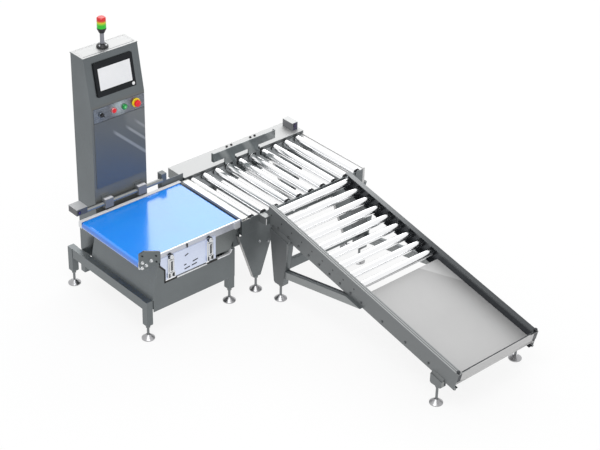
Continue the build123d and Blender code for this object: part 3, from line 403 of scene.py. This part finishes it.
# Pusher blade: paler towards the outfeed, with slanting bands of painted sheen
sheen_turn = blade_steel.add("ShaderNodeMapping")
sheen_turn.inputs["Rotation"].default_value = (0, math.radians(32), 0)
blade_steel.feed(sheen_turn.inputs["Vector"], blade_steel.coords)
sheen = blade_steel.add("ShaderNodeTexWave", bands_direction="X")
sheen.inputs["Scale"].default_value = 1.9
sheen.inputs["Distortion"].default_value = 0.8
blade_steel.feed(sheen.inputs["Vector"], sheen_turn.outputs["Vector"])
bands = blade_steel.math("MULTIPLY", blade_steel.range(sheen.outputs["Fac"], 0.70, 0.95), 0.6)
blade_steel.tint(blade_steel.ramp("X", 1.28, 1.45), (0.185, 0.197, 0.202))
blade_steel.tint(bands, (0.38, 0.40, 0.40))

# Tray: a painted reflection, pale at its upper end and in one corner
diagonal = tray_steel.math("ADD", tray_steel.axis("Y"),
                           tray_steel.math("MULTIPLY", tray_steel.axis("X"), 1.41))
tray_reflection = tray_steel.either(tray_steel.ramp("Y", -0.877, -0.869), tray_steel.range(diagonal, 1.096, 1.112))
tray_steel.tint(tray_reflection, (0.66, 0.66, 0.66))

# Chute: the outer faces of its rails, their sheet's thickness, its slope and the axis of its first roller.
# Heights on it count at right angles to the slope, from the plane through the roller axes.
rail_left, rail_right, rail_sheet = 0.897, 1.572, 0.0035
slope = math.radians(11.6)
slope_up = Vector((0, -math.sin(slope), math.cos(slope)))
slope_down = Vector((0, -math.cos(slope), -math.sin(slope)))
first_axis = Vector((0, -0.089, 0.567))
axis_height = first_axis.dot(slope_up)
height_node = chute_steel.add("ShaderNodeVectorMath", operation="DOT_PRODUCT")
height_node.inputs[1].default_value = slope_up
chute_steel.feed(height_node.inputs[0], chute_steel.coords)
chute_height = height_node.outputs["Value"]


def chute_level(none, full):
    """0 to 1 between two heights over the roller axes."""
    return chute_steel.range(chute_height, axis_height + none, axis_height + full)


def chute_tint(first, second, colour):
    """Recolours the chute where both masks are 1."""
    chute_steel.tint(chute_steel.both(first, second), colour)


infeed_side = chute_steel.facing("X", -1)
below_flange = chute_level(0.0465, 0.0455)
flange_top = chute_level(0.0480, 0.0490)
below_rail = chute_level(-0.073, -0.077)

# Inside of the end stop; painted light along the outer face of the left rail; painted shade on the inner face
# of the right rail, with a lighter stripe
chute_tint(chute_steel.between("Y", -1.80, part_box("chute_tray")[0].y - 0.0008),
           chute_steel.between("X", rail_left + rail_sheet, rail_right - rail_sheet), (0.50, 0.50, 0.50))
outer_painted_light = chute_steel.mix(chute_steel.ramp("Y", -0.15, -0.75),
                             (0.200, 0.211, 0.216), (0.174, 0.184, 0.188))
chute_tint(infeed_side, chute_steel.ramp("X", rail_left + 0.0005, rail_left), outer_painted_light)
stripe = chute_steel.range(chute_steel.apart(chute_height, axis_height + 0.012), 0.008, 0.006)
inner_shade = chute_steel.mix(stripe, (0.050, 0.055, 0.062), (0.105, 0.112, 0.120))
chute_tint(below_flange, chute_steel.between("X", rail_right - 0.0355, rail_right - 0.0027), inner_shade)

# Tops of the right and left rail
right_tone = chute_steel.mix(chute_steel.ramp("Y", -0.2, -0.80),
                             (0.22, 0.23, 0.235), (0.046, 0.051, 0.055))
chute_tint(flange_top, chute_steel.ramp("X", 1.5, 1.51), right_tone)
chute_tint(flange_top, chute_steel.ramp("X", 1.0, 0.99), (0.320, 0.332, 0.335))

# Painted light on one side of the braces, the upper legs and the low legs, and a painted highlight on the top
# of the left hook box
braces = chute_steel.both(below_rail, chute_steel.between("Y", -1.30, -0.262))
upper_legs = chute_steel.both(below_rail, chute_steel.ramp("Y", -0.262, -0.260))
low_legs = chute_steel.both(below_rail, chute_steel.ramp("Y", -1.45, -1.46))
lit_hook_tops = chute_steel.both(chute_steel.facing("Z", 1, 0.80, 0.90), chute_steel.between("Z", 0.552, 0.562))
chute_tint(braces, infeed_side, (0.275, 0.288, 0.290))
chute_tint(upper_legs, infeed_side, (0.150, 0.158, 0.163))
chute_tint(low_legs, chute_steel.facing("Y", -1), (0.28, 0.29, 0.285))
chute_tint(lit_hook_tops, chute_steel.ramp("X", rail_left - 0.0004, rail_left - 0.0010), (0.34, 0.352, 0.352))

# Painted shade in two grooves along the left rail, and painted shade under its flange on the inner side
for groove_x in (rail_left + 0.009, rail_left + 0.023):
    chute_tint(chute_steel.between("X", groove_x, groove_x + 0.004), flange_top, (0.075, 0.080, 0.083))
chute_tint(below_flange, chute_steel.between("X", rail_left + rail_sheet, rail_left + 0.033),
           (0.035, 0.040, 0.048))

# Operators: each collar has its own colour, and only the yellow one isn't metal
collar_metal = metal("collar_metal", (0.50, 0.51, 0.53), 0.22, grain=(1, 1, 1), scale=300, wear=1.3)
estop_low, estop_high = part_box("estop_button")
stop_low, stop_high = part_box("stop_button")
start_low, start_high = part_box("start_button")
selector_low, selector_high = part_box("selector_knob")


def collar(low, high, reach, colour):
    """Colours the collar round an operator, and returns its mask."""
    mask = collar_metal.between("X", low.x - reach, high.x + reach)
    collar_metal.tint(mask, colour)
    return mask


collar(selector_low, selector_high, 0.02, (0.16, 0.18, 0.21))
collar(stop_low, stop_high, 0.01, (0.72, 0.30, 0.30))
collar(start_low, start_high, 0.01, (0.06, 0.24, 0.10))
collar_metal.dull(collar(estop_low, estop_high, 0.02, (0.85, 0.66, 0.02)), 0.0)

# Control strip: bluish towards the selector, with a painted highlight between the stop and start buttons
highlight_spot = strip_steel.add("ShaderNodeVectorMath", operation="DISTANCE")
highlight_spot.inputs[1].default_value = ((stop_high.x + start_low.x) / 2, start_low.y,
                                (start_low.z + start_high.z) / 2 + 0.01)
strip_steel.feed(highlight_spot.inputs[0], strip_steel.coords)
strip_steel.tint(strip_steel.ramp("X", selector_high.x + 0.050, selector_low.x - 0.010),
                 (0.255, 0.285, 0.335))
strip_steel.tint(strip_steel.range(highlight_spot.outputs["Value"], 0.075, 0.020, 0.0, 0.75), (0.54, 0.62, 0.65))

# Signal tower: grey pole; the red and amber lenses run into the next colour at their feet
tower_plastic = plastic("tower_plastic", (0.012, 0.012, 0.014), 0.35)
tower_plastic.tint(tower_plastic.between("Z", 1.616, 1.682), (0.225, 0.231, 0.262))
red_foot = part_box("lamp_red")[0].z
amber_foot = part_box("lamp_amber")[0].z
green_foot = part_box("lamp_green")[0].z
red_lens.tint(red_lens.ramp("Z", red_foot + 0.011, red_foot + 0.003), (0.60, 0.26, 0.008))
amber_lens.tint(amber_lens.ramp("Z", amber_foot + 0.021, amber_foot + 0.013), (0.34, 0.57, 0.01))
amber_lens.tint(amber_lens.ramp("Z", amber_foot + 0.012, amber_foot + 0.003), (0.05, 0.51, 0.02))

node_materials = {
    frame_steel: ("weigh_frame", "frame_panels", "pusher_carriage"),
    bracket_steel: ("rod_brackets",),
    leg_steel: ("section_legs",),
    strip_steel: ("control_panel",),
    foot_steel: ("levelling_feet",),
    bezel_plastic: ("hmi_housing",),
    clamp_steel: ("rod_clamps",),
    chute_steel: ("chute_frame", "chute_supports"),
    case_steel: ("conveyor_case",),
    cover_steel: ("rear_cover",),
    section_steel: ("roller_frame",),
    blade_steel: ("pusher_blade", "pusher_arms"),
    cabinet_steel: ("cabinet_shell",),
    door_steel: ("cabinet_door",),
    rod_steel: ("tie_rod",),
    bright_steel: ("tail_drum", "drive_drum", "pusher_guides"),
    aluminium: ("conveyor_frame", "load_cell"),
    lavender_plate: ("drive_cover",),
    tray_steel: ("chute_tray",),
    dark_bracket: ("drum_brackets",),
    black_plastic: ("selector_knob", "drive_motor"),
    grey_plastic: ("control_gear",),
    sensor_paint: ("photo_sensors",),
    red_plastic: ("stop_button", "estop_button"),
    green_plastic: ("start_button",),
    collar_metal: ("control_collars",),
    tower_plastic: ("stack_mount",),
    green_lens: ("lamp_green",),
    amber_lens: ("lamp_amber",),
    red_lens: ("lamp_red",),
    belt: ("conveyor_belt",),
    screen: ("hmi_screen",),
    powered_roller: tuple(f"roller_{i:02d}" for i in range(1, 11)),
    gravity_roller: tuple(f"chute_roller_{i}" for i in range(1, 10)),
}
for shader, names in node_materials.items():
    for name in names:
        nodes[name].data.materials.clear()
        nodes[name].data.materials.append(shader.material)


# Small pieces that the solids leave out

out = (0, -1, 0)
up = (0, 0, 1)
FLAT = 0.99  # from this share of its normal on, a face is square to an axis
QUARTER = math.pi / 2


def start(add, **settings):
    """A new primitive, alone in the selection."""
    bpy.ops.object.select_all(action="DESELECT")
    add(**settings)
    bpy.ops.object.transform_apply(location=True, rotation=True, scale=True)
    return bpy.context.object


def pick(piece, test):
    """Leaves the piece in edit mode with the faces selected that pass the test."""
    bpy.ops.object.mode_set(mode="EDIT")
    bpy.ops.mesh.select_mode(type="FACE")
    bpy.ops.mesh.select_all(action="DESELECT")
    bpy.ops.object.mode_set(mode="OBJECT")
    for face in piece.data.polygons:
        face.select = test(face)
    bpy.ops.object.mode_set(mode="EDIT")


def done():
    """Ends edit mode."""
    bpy.ops.object.mode_set(mode="OBJECT")


def front_face(face):
    """A test for the faces that look to the front."""
    return face.normal.y < -FLAT


def top_over(area):
    """A test for the faces that look up and are larger than area."""
    return lambda face: face.normal.z > FLAT and face.area > area


def press(piece, test, rim, move):
    """Moves the middle of the faces that pass the test, inside a rim."""
    pick(piece, test)
    bpy.ops.mesh.inset(thickness=rim)
    bpy.ops.mesh.extrude_region_move(TRANSFORM_OT_translate={"value": move})
    done()


def pierce(piece, wall):
    """Opens the piece from top to bottom inside a wall."""
    pick(piece, lambda face: abs(face.normal.z) > FLAT)
    bpy.ops.mesh.inset(thickness=wall)
    bpy.ops.mesh.bridge_edge_loops()
    done()


def set_down(piece, place, *turns):
    """Moves a piece to its place; turns are pairs of angle and axis, the last made first."""
    matrix = Matrix.Translation(place)
    for angle, axis in turns:
        matrix = matrix @ Matrix.Rotation(angle, 4, axis)
    piece.data.transform(matrix)
    return piece


def bevelled(piece, width):
    """Rounds off the piece's sharp edges."""
    modifier = piece.modifiers.new("bevel", "BEVEL")
    modifier.width = width
    modifier.segments = 2
    modifier.angle_limit = math.radians(40)
    bpy.ops.object.modifier_apply(modifier=modifier.name)
    return piece


def bar(low, high, bevel=0.001):
    """A bevelled bar from its lowest to its highest corner."""
    size = [b - a for a, b in zip(low, high)]
    piece = start(bpy.ops.mesh.primitive_cube_add, size=1, location=[(a + b) / 2 for a, b in zip(low, high)],
                  scale=size)
    return bevelled(piece, min(bevel, min(size) * 0.4))


def disc(radius, height, sides=32, bevel=0.0008, base=0.0):
    """A bevelled disc on the plane z = base, pointing up."""
    piece = start(bpy.ops.mesh.primitive_cylinder_add, vertices=sides, radius=radius, depth=height,
                  location=(0, 0, base + height / 2))
    return bevelled(piece, bevel)


def join(pieces):
    """One piece out of many, alone in the selection."""
    bpy.ops.object.select_all(action="DESELECT")
    for piece in pieces:
        piece.select_set(True)
    bpy.context.view_layer.objects.active = pieces[0]
    if len(pieces) > 1:
        bpy.ops.object.join()
    return pieces[0]


def paint(piece, shader):
    """Gives the piece that material alone."""
    piece.data.materials.clear()
    piece.data.materials.append(shader.material)
    return piece


def keep(piece, name, body="machine"):
    """Names the piece, smooths its round faces and lets it ride on its body."""
    join([piece])
    bpy.ops.object.shade_smooth_by_angle(angle=math.radians(35))
    piece.name = name
    piece.data.name = name
    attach(piece, body)


def scatter(template, name, places, body="machine"):
    """Copies of a template, its up direction turned to each place's direction, joined as one piece."""
    copies = []
    for place, direction in places:
        copy = template.copy()
        copy.data = template.data.copy()
        bpy.context.scene.collection.objects.link(copy)
        turned = Vector(up).rotation_difference(Vector(direction)).to_matrix().to_4x4()
        copy.data.transform(Matrix.Translation(place) @ turned)
        copies.append(copy)
    bpy.data.objects.remove(template)
    keep(join(copies), name, body)


def socket_bolt(radius, height, shader):
    """A round head with a hexagon socket."""
    head = disc(radius, height, 30, radius * 0.12)
    pick(head, top_over(radius * radius))
    bpy.ops.mesh.inset(thickness=radius * 0.42)
    bpy.ops.mesh.inset(thickness=radius * 0.02)
    bpy.ops.mesh.extrude_region_move(TRANSFORM_OT_translate={"value": (0, 0, -height * 0.5)})
    done()
    return paint(head, shader)


def hex_bolt(radius, height, shader):
    """A hexagon head on a round washer."""
    washer = disc(radius * 1.25, height * 0.25, 32, 0.0004)
    head = disc(radius, height, 6, radius * 0.08, height * 0.25)
    return paint(join([washer, head]), shader)


# Guard bracket: four tension bolts and three screws
guard_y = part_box("drum_brackets")[0].y
scatter(hex_bolt(0.0085, 0.009, bright_steel), "guard_bolts",
        [((x, guard_y, z), out)
         for x, z in ((-0.054, 0.585), (-0.026, 0.556), (0.011, 0.574), (-0.056, 0.549))])
scatter(socket_bolt(0.005, 0.005, dark_steel), "guard_screws",
        [((x, guard_y, z), out) for x, z in ((-0.050, 0.628), (0.050, 0.590), (0.052, 0.548))])

# Drive cover: two draw latches, each a boss over a slotted body with a keeper below; their dark parts are
# painted shade
cover_plate_low, cover_plate_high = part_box("drive_cover")
latch_middles = (cover_plate_low.x + 0.075, cover_plate_high.x - 0.049)
boss_z = 0.540


def latch(x, y):
    """The bright parts and the dark, painted-shade parts of a latch whose middle is at x, standing on the
    plane y.
    """
    boss = disc(0.014, 0.013, 40, 0.003)
    press(boss, top_over(0.0001), 0.004, (0, 0, 0.002))
    washer = disc(0.018, 0.002, 40)
    for turned_part in (boss, washer):
        set_down(turned_part, (x + 0.003, y, boss_z), (QUARTER, "X"))
    plate = bar((x - 0.022, y - 0.0015, 0.392), (x + 0.026, y + 0.004, 0.528))
    body = bar((x - 0.016, y - 0.010, 0.436), (x + 0.020, y, 0.520), 0.003)
    press(body, front_face, 0.006, (0, 0.008, 0))
    lever = bar((x + 0.005, y - 0.014, 0.430), (x + 0.015, y - 0.004, 0.508), 0.003)
    keeper = bar((x - 0.026, y - 0.006, 0.394), (x + 0.030, y, 0.428), 0.002)
    press(keeper, front_face, 0.005, (0, 0.004, 0))
    well = bar((x - 0.009, y - 0.0030, 0.440), (x + 0.002, y - 0.0015, 0.514), 0.0005)
    claws = [bar((x + offset, y - 0.009, 0.397), (x + offset + 0.009, y - 0.001, 0.424), 0.002)
             for offset in (-0.019, 0.013)]
    bright = paint(join([boss, plate, body, lever, keeper]), bright_steel)
    dark = paint(join([washer, well] + claws), dark_steel)
    return bright, dark


for index, x in enumerate(latch_middles):
    bright, dark = latch(x, cover_plate_low.y)
    keep(bright, f"cover_latch_{index + 1}")
    keep(dark, f"cover_latch_shade_{index + 1}")


# Front panel: a painted highlight along its notch between the latches, and painted shade in the gaps up the
# left side and beside the latches
panel_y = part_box("frame_panels")[0].y
notch_z = 0.3735


def tilted_bar(first, last, depth, thickness, shader):
    """A bevelled flat bar in the plane of the front panel, from point to point, its top on the line."""
    (x0, z0), (x1, z1) = first, last
    piece = bar((0, 0, -thickness), (math.hypot(x1 - x0, z1 - z0), depth, 0), 0.0006)
    set_down(piece, (x0, 0, z0), (-math.atan2(z1 - z0, x1 - x0), "Y"))
    return paint(piece, shader)


def notch_edge(lines, depth, thickness, shader):
    """Bars along the lines as one piece, just in front of the panel."""
    bars = [tilted_bar(first, last, depth, thickness, shader) for first, last in lines]
    return set_down(join(bars), (0, panel_y - 0.002, 0))


highlight_lines = (((0.207, notch_z), (0.437, notch_z)), ((0.519, notch_z), (0.6165, notch_z)),
              ((0.6165, notch_z), (0.6305, 0.397)))
keep(notch_edge(highlight_lines, 0.0175, 0.008, pale_steel), "notch_highlight")
shade_lines = (((0.1205, 0.458), (0.1205, 0.364)), ((0.0795, 0.5035), (0.1205, 0.4565)),
              ((0.113, notch_z), (0.206, notch_z)), ((0.438, notch_z), (0.519, notch_z)))
keep(notch_edge(shade_lines, 0.006, 0.009, shade_black), "notch_shade")


# Drive cover: six slots in its plate, their dark linings painted shade
def slot_hole(length, radius):
    """A dark obround lining with a raised lip; the dark stands in for the shade inside a slot."""
    hole = disc(radius, 0.0012, 24, 0.0003)
    for vertex in hole.data.vertices:
        if vertex.co.x > 0:
            vertex.co.x += length
    press(hole, top_over(radius * radius), radius * 0.25, (0, 0, -0.0008))
    return paint(hole, black_plastic)


slots = []
for x, z, length, degrees in ((0.288, 0.553, 0.022, 90), (0.270, 0.498, 0.022, 20), (0.266, 0.405, 0.036, 8),
                              (0.263, 0.434, 0.012, 8), (0.329, 0.436, 0.034, 8), (0.321, 0.410, 0.034, 8)):
    slots.append(set_down(slot_hole(length, 0.0035), (x, cover_plate_low.y + 0.004, z), (QUARTER, "X"),
                          (math.radians(degrees), "Z")))
keep(join(slots), "cover_slots")

# Bolts of the rear cover, the section legs and the pusher's stems
scatter(hex_bolt(0.0075, 0.006, black_plastic), "cover_bolts",
        [((x, 0.731, cover_top_z), up) for x in (1.210, 1.248, 1.412, 1.449)])
leg_front_y = section_low.y + 0.006
scatter(hex_bolt(0.0065, 0.005, zinc_steel), "leg_bolts",
        [((x, leg_front_y, z), out)
         for x, z in ((0.860, 0.361), (0.932, 0.334), (1.642, 0.361), (1.570, 0.334))])
stem_bolt_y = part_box("pusher_arms")[0].y + 0.004
stem_bolt_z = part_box("pusher_carriage")[1].z - 0.010
scatter(hex_bolt(0.0065, 0.005, dark_steel), "stem_bolts",
        [((x, stem_bolt_y, stem_bolt_z), out) for x in (1.1525, 1.3505)], "pusher")


# Chute rails: bolts at the roller ends and further down, by how far down the slope they sit
rail_top = 0.0495
block_places = [0.078 + 0.0963 * index for index in range(9)]
frame_bolt_places = [1.034, 1.234, 1.431]


def on_chute(x, along, height):
    """The point at x, that far down the slope from the first roller, that high over the roller axes."""
    point = first_axis + slope_down * along + slope_up * height
    return (x, point.y, point.z)


scatter(hex_bolt(0.0070, 0.004, rail_bolt_steel), "rail_bolts",
        [(on_chute(x, along, -0.045), (side, 0, 0)) for along in block_places + frame_bolt_places
         for x, side in ((rail_left, -1), (rail_right, 1))])

# Ends of the chute rails: a knob on top and an eye below at each side of the end stop
knob = disc(0.011, 0.014, 32, 0.003)
scatter(paint(knob, dark_steel), "stop_knobs",
        [(on_chute(x, 1.638, rail_top), slope_up) for x in (rail_left + 0.012, rail_right - 0.012)])
eye = start(bpy.ops.mesh.primitive_torus_add, major_radius=0.0095, minor_radius=0.0042, major_segments=32,
            minor_segments=12)
scatter(paint(eye, leg_steel), "stop_eyes",
        [(on_chute(x, 1.644, -0.068), (1, 0, 0)) for x in (rail_left + 0.008, rail_right - 0.008)])


# Chute legs: a sloping cap closes the step between each leg and the outside of its rail
def leg_cap(x_rail, side, step, along, width):
    """A wedge as wide as the leg, from its plate, a step inwards, up to the rail's outer face."""
    wedge = start(bpy.ops.mesh.primitive_cube_add, size=1, scale=(step, width, 0.026))
    bpy.ops.object.mode_set(mode="EDIT")
    bpy.ops.mesh.select_all(action="SELECT")
    bpy.ops.mesh.bisect(plane_co=(-side * step / 2, 0, -0.009), plane_no=(-side * 0.020, 0, step),
                        use_fill=True, clear_outer=True)
    done()
    set_down(wedge, on_chute(x_rail - side * step / 2, along, -0.070), (slope, "X"))
    return paint(bevelled(wedge, 0.0006), cap_steel)


caps = []
for x_rail, side in ((rail_left, 1), (rail_right, -1)):
    caps.append(leg_cap(x_rail, side, 0.023, 0.1175, 0.184))
    caps.append(leg_cap(x_rail, side, 0.018, 1.522, 0.094))
keep(join(caps), "leg_caps")

# Upper chute legs: a plate closes the open side of each channel down to its foot
back_length = 0.350
back_lean = math.atan2(0.0468, back_length)
backs = []
for x_rail in (rail_left, rail_right):
    back = bar((x_rail - 0.0198, -0.002, 0), (x_rail + 0.0198, 0, back_length), 0.0006)
    backs.append(paint(set_down(back, (0, -0.2318, 0.126), (back_lean, "X")), leg_steel))
keep(join(backs), "leg_backs")

# End stop: a dark trim strip along its top edge
stop_trim = bar((rail_left + 0.036, -0.003, -0.0005), (rail_right - 0.036, 0.004, 0.0015), 0.0006)
set_down(stop_trim, on_chute(0, 1.6445, rail_top), (slope, "X"))
keep(paint(stop_trim, dark_steel), "stop_trim")

# Hook boxes: a pale upright strip on the front of each
hooks = [bar((x - 0.003, -0.0785, 0.503), (x + 0.003, -0.0768, 0.548), 0.0005) for x in (0.866, 1.603)]
keep(paint(join(hooks), white_plastic), "hook_slots")


# Screen: a small pale button on its leaning bezel
scatter(paint(disc(0.0105, 0.0025), white_plastic), "screen_button",
        [((0.399, 0.6231, 1.356), Vector((0, -315, 60)).normalized())])


# Stop and start buttons: a small red and a small pale green disc on the front
def front_middle(low, high):
    """The middle of a box's front face."""
    return ((low.x + high.x) / 2, low.y, (low.z + high.z) / 2)


scatter(paint(disc(0.0055, 0.0012), red_plastic), "stop_insert",
        [(front_middle(stop_low, stop_high), out)], "stop_button")
scatter(paint(disc(0.0060, 0.0012), pale_green), "start_insert",
        [(front_middle(start_low, start_high), out)], "start_button")

# Signal tower: four screws in its flange
tower_low, tower_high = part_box("stack_mount")
tower_x = (tower_low.x + tower_high.x) / 2
tower_y = (tower_low.y + tower_high.y) / 2
flange_z, screw_circle = 1.602, 0.027
scatter(socket_bolt(0.0055, 0.009, zinc_steel), "flange_screws",
        [((tower_x + screw_circle * math.cos(angle), tower_y + screw_circle * math.sin(angle), flange_z), up)
         for angle in (math.radians(step * 90 + 20) for step in range(4))])

# Signal tower: the socket's cup reaches over the foot of the green lens
cup = start(bpy.ops.mesh.primitive_cylinder_add, vertices=48, radius=0.0286, depth=0.009,
            location=(tower_x, tower_y, green_foot + 0.0045))
pierce(cup, 0.0012)
keep(paint(bevelled(cup, 0.0003), black_plastic), "lamp_cup")

# Column roof: the seam of the lid panel, dark along its front
seam = start(bpy.ops.mesh.primitive_cube_add, size=1, location=(0.2795, 0.7475, roof_z + 0.0002),
             scale=(0.366, 0.107, 0.0008))
pierce(seam, 0.0030)
seam_paint = plastic("seam_paint", (0.60, 0.59, 0.60), 0.5)
seam_paint.tint(seam_paint.ramp("Y", 0.700, 0.698), (0.13, 0.14, 0.15))
keep(paint(seam, seam_paint), "roof_seam")

# Sensors: a round lens in a dark ring on each box
sensor_places = [((-0.066, 0.580, 0.641), out), ((1.708, 0.622, 0.618), out)]
lens_ring = disc(0.011, 0.004, 36, 0.001)
press(lens_ring, top_over(0.0001), 0.003, (0, 0, -0.002))
scatter(paint(lens_ring, black_plastic), "sensor_rings", sensor_places)
scatter(paint(disc(0.008, 0.0032, 36, 0.0012), lens_violet), "sensor_lenses", sensor_places)


# Floor, light and camera

bpy.ops.object.select_all(action="DESELECT")
bpy.ops.mesh.primitive_plane_add(size=60, location=(0, 0, -0.0005))
floor = bpy.context.object
floor.name = "floor"


def seen_rays(tree):
    """1 or more for rays of the camera, of reflections and through glass, 0 for rays that only light."""
    path = tree.nodes.new("ShaderNodeLightPath")
    total = path.outputs["Is Camera Ray"]
    for kind in ("Is Glossy Ray", "Is Transmission Ray"):
        add = tree.nodes.new("ShaderNodeMath")
        add.operation = "ADD"
        tree.links.new(total, add.inputs[0])
        tree.links.new(path.outputs[kind], add.inputs[1])
        total = add.outputs[0]
    return total


# White floor that takes a soft shadow: where it is seen it is mostly plain white
plain_share = 0.85
floor_paint = Shader("floor_paint", Specular_IOR_Level=0.0)
floor_paint.set("Base Color", floor_paint.mix(floor_paint.noise(0.5, detail=2.0), (0.88, 0.88, 0.88),
                                              (0.90, 0.90, 0.90)))
floor_paint.set("Roughness", 0.9)
white = floor_paint.add("ShaderNodeEmission")
white.inputs["Strength"].default_value = 1.0
blend = floor_paint.add("ShaderNodeMixShader")
shown = floor_paint.math("MINIMUM", seen_rays(floor_paint.tree), 1.0)
floor_paint.feed(blend.inputs[0], floor_paint.math("MULTIPLY", shown, plain_share))
floor_paint.feed(blend.inputs[1], floor_paint.bsdf.outputs[0])
floor_paint.feed(blend.inputs[2], white.outputs[0])
floor_paint.feed(floor_paint.tree.nodes["Material Output"].inputs["Surface"], blend.outputs[0])
floor.data.materials.append(floor_paint.material)

# White world: full where it is seen, a little less as light
light_strength, seen_strength = 0.85, 1.0
world = bpy.data.worlds.new("studio")
bpy.context.scene.world = world
world.use_nodes = True
world_tree = world.node_tree
background = world_tree.nodes["Background"]
background.inputs["Color"].default_value = (1, 1, 1, 1)
strength = world_tree.nodes.new("ShaderNodeMapRange")
strength.inputs["To Min"].default_value = light_strength
strength.inputs["To Max"].default_value = seen_strength
world_tree.links.new(seen_rays(world_tree), strength.inputs["Value"])
world_tree.links.new(strength.outputs["Result"], background.inputs["Strength"])


def area_light(name, place, target, width, height, radiance):
    """A soft rectangular lamp that looks at target; radiance 1 is white."""
    data = bpy.data.lights.new(name, "AREA")
    data.shape = "RECTANGLE"
    data.size = width
    data.size_y = height
    data.energy = radiance * math.pi * width * height
    lamp = bpy.data.objects.new(name, data)
    lamp.location = place
    lamp.rotation_euler = (Vector(target) - Vector(place)).to_track_quat("-Z", "Y").to_euler()
    bpy.context.scene.collection.objects.link(lamp)


machine_middle = (0.8, -0.4, 0.5)
area_light("back_softbox", (4.6, 3.7, 4.0), machine_middle, 7.5, 3.6, 1.7)
area_light("top_softbox", (-1.5, -2.0, 5.5), machine_middle, 3.0, 3.0, 3.2)

# Camera, fitted to the edges of the photo
camera_data = bpy.data.cameras.new("camera")
camera_data.lens = 99.13
camera_data.sensor_width = 36
camera_data.clip_end = 100
camera = bpy.data.objects.new("camera", camera_data)
azimuth, elevation, roll = (math.radians(angle) for angle in (-42.2114, 31.9102, 1.5810))
camera_turn = (Matrix.Rotation(azimuth, 3, "Z") @ Matrix.Rotation(QUARTER - elevation, 3, "X")
               @ Matrix.Rotation(roll, 3, "Z"))
camera.location = (-4.80241, -6.63588, 5.90677)
camera.rotation_euler = camera_turn.to_euler()
bpy.context.scene.collection.objects.link(camera)
bpy.context.scene.camera = camera
bpy.context.scene.view_settings.view_transform = "Standard"
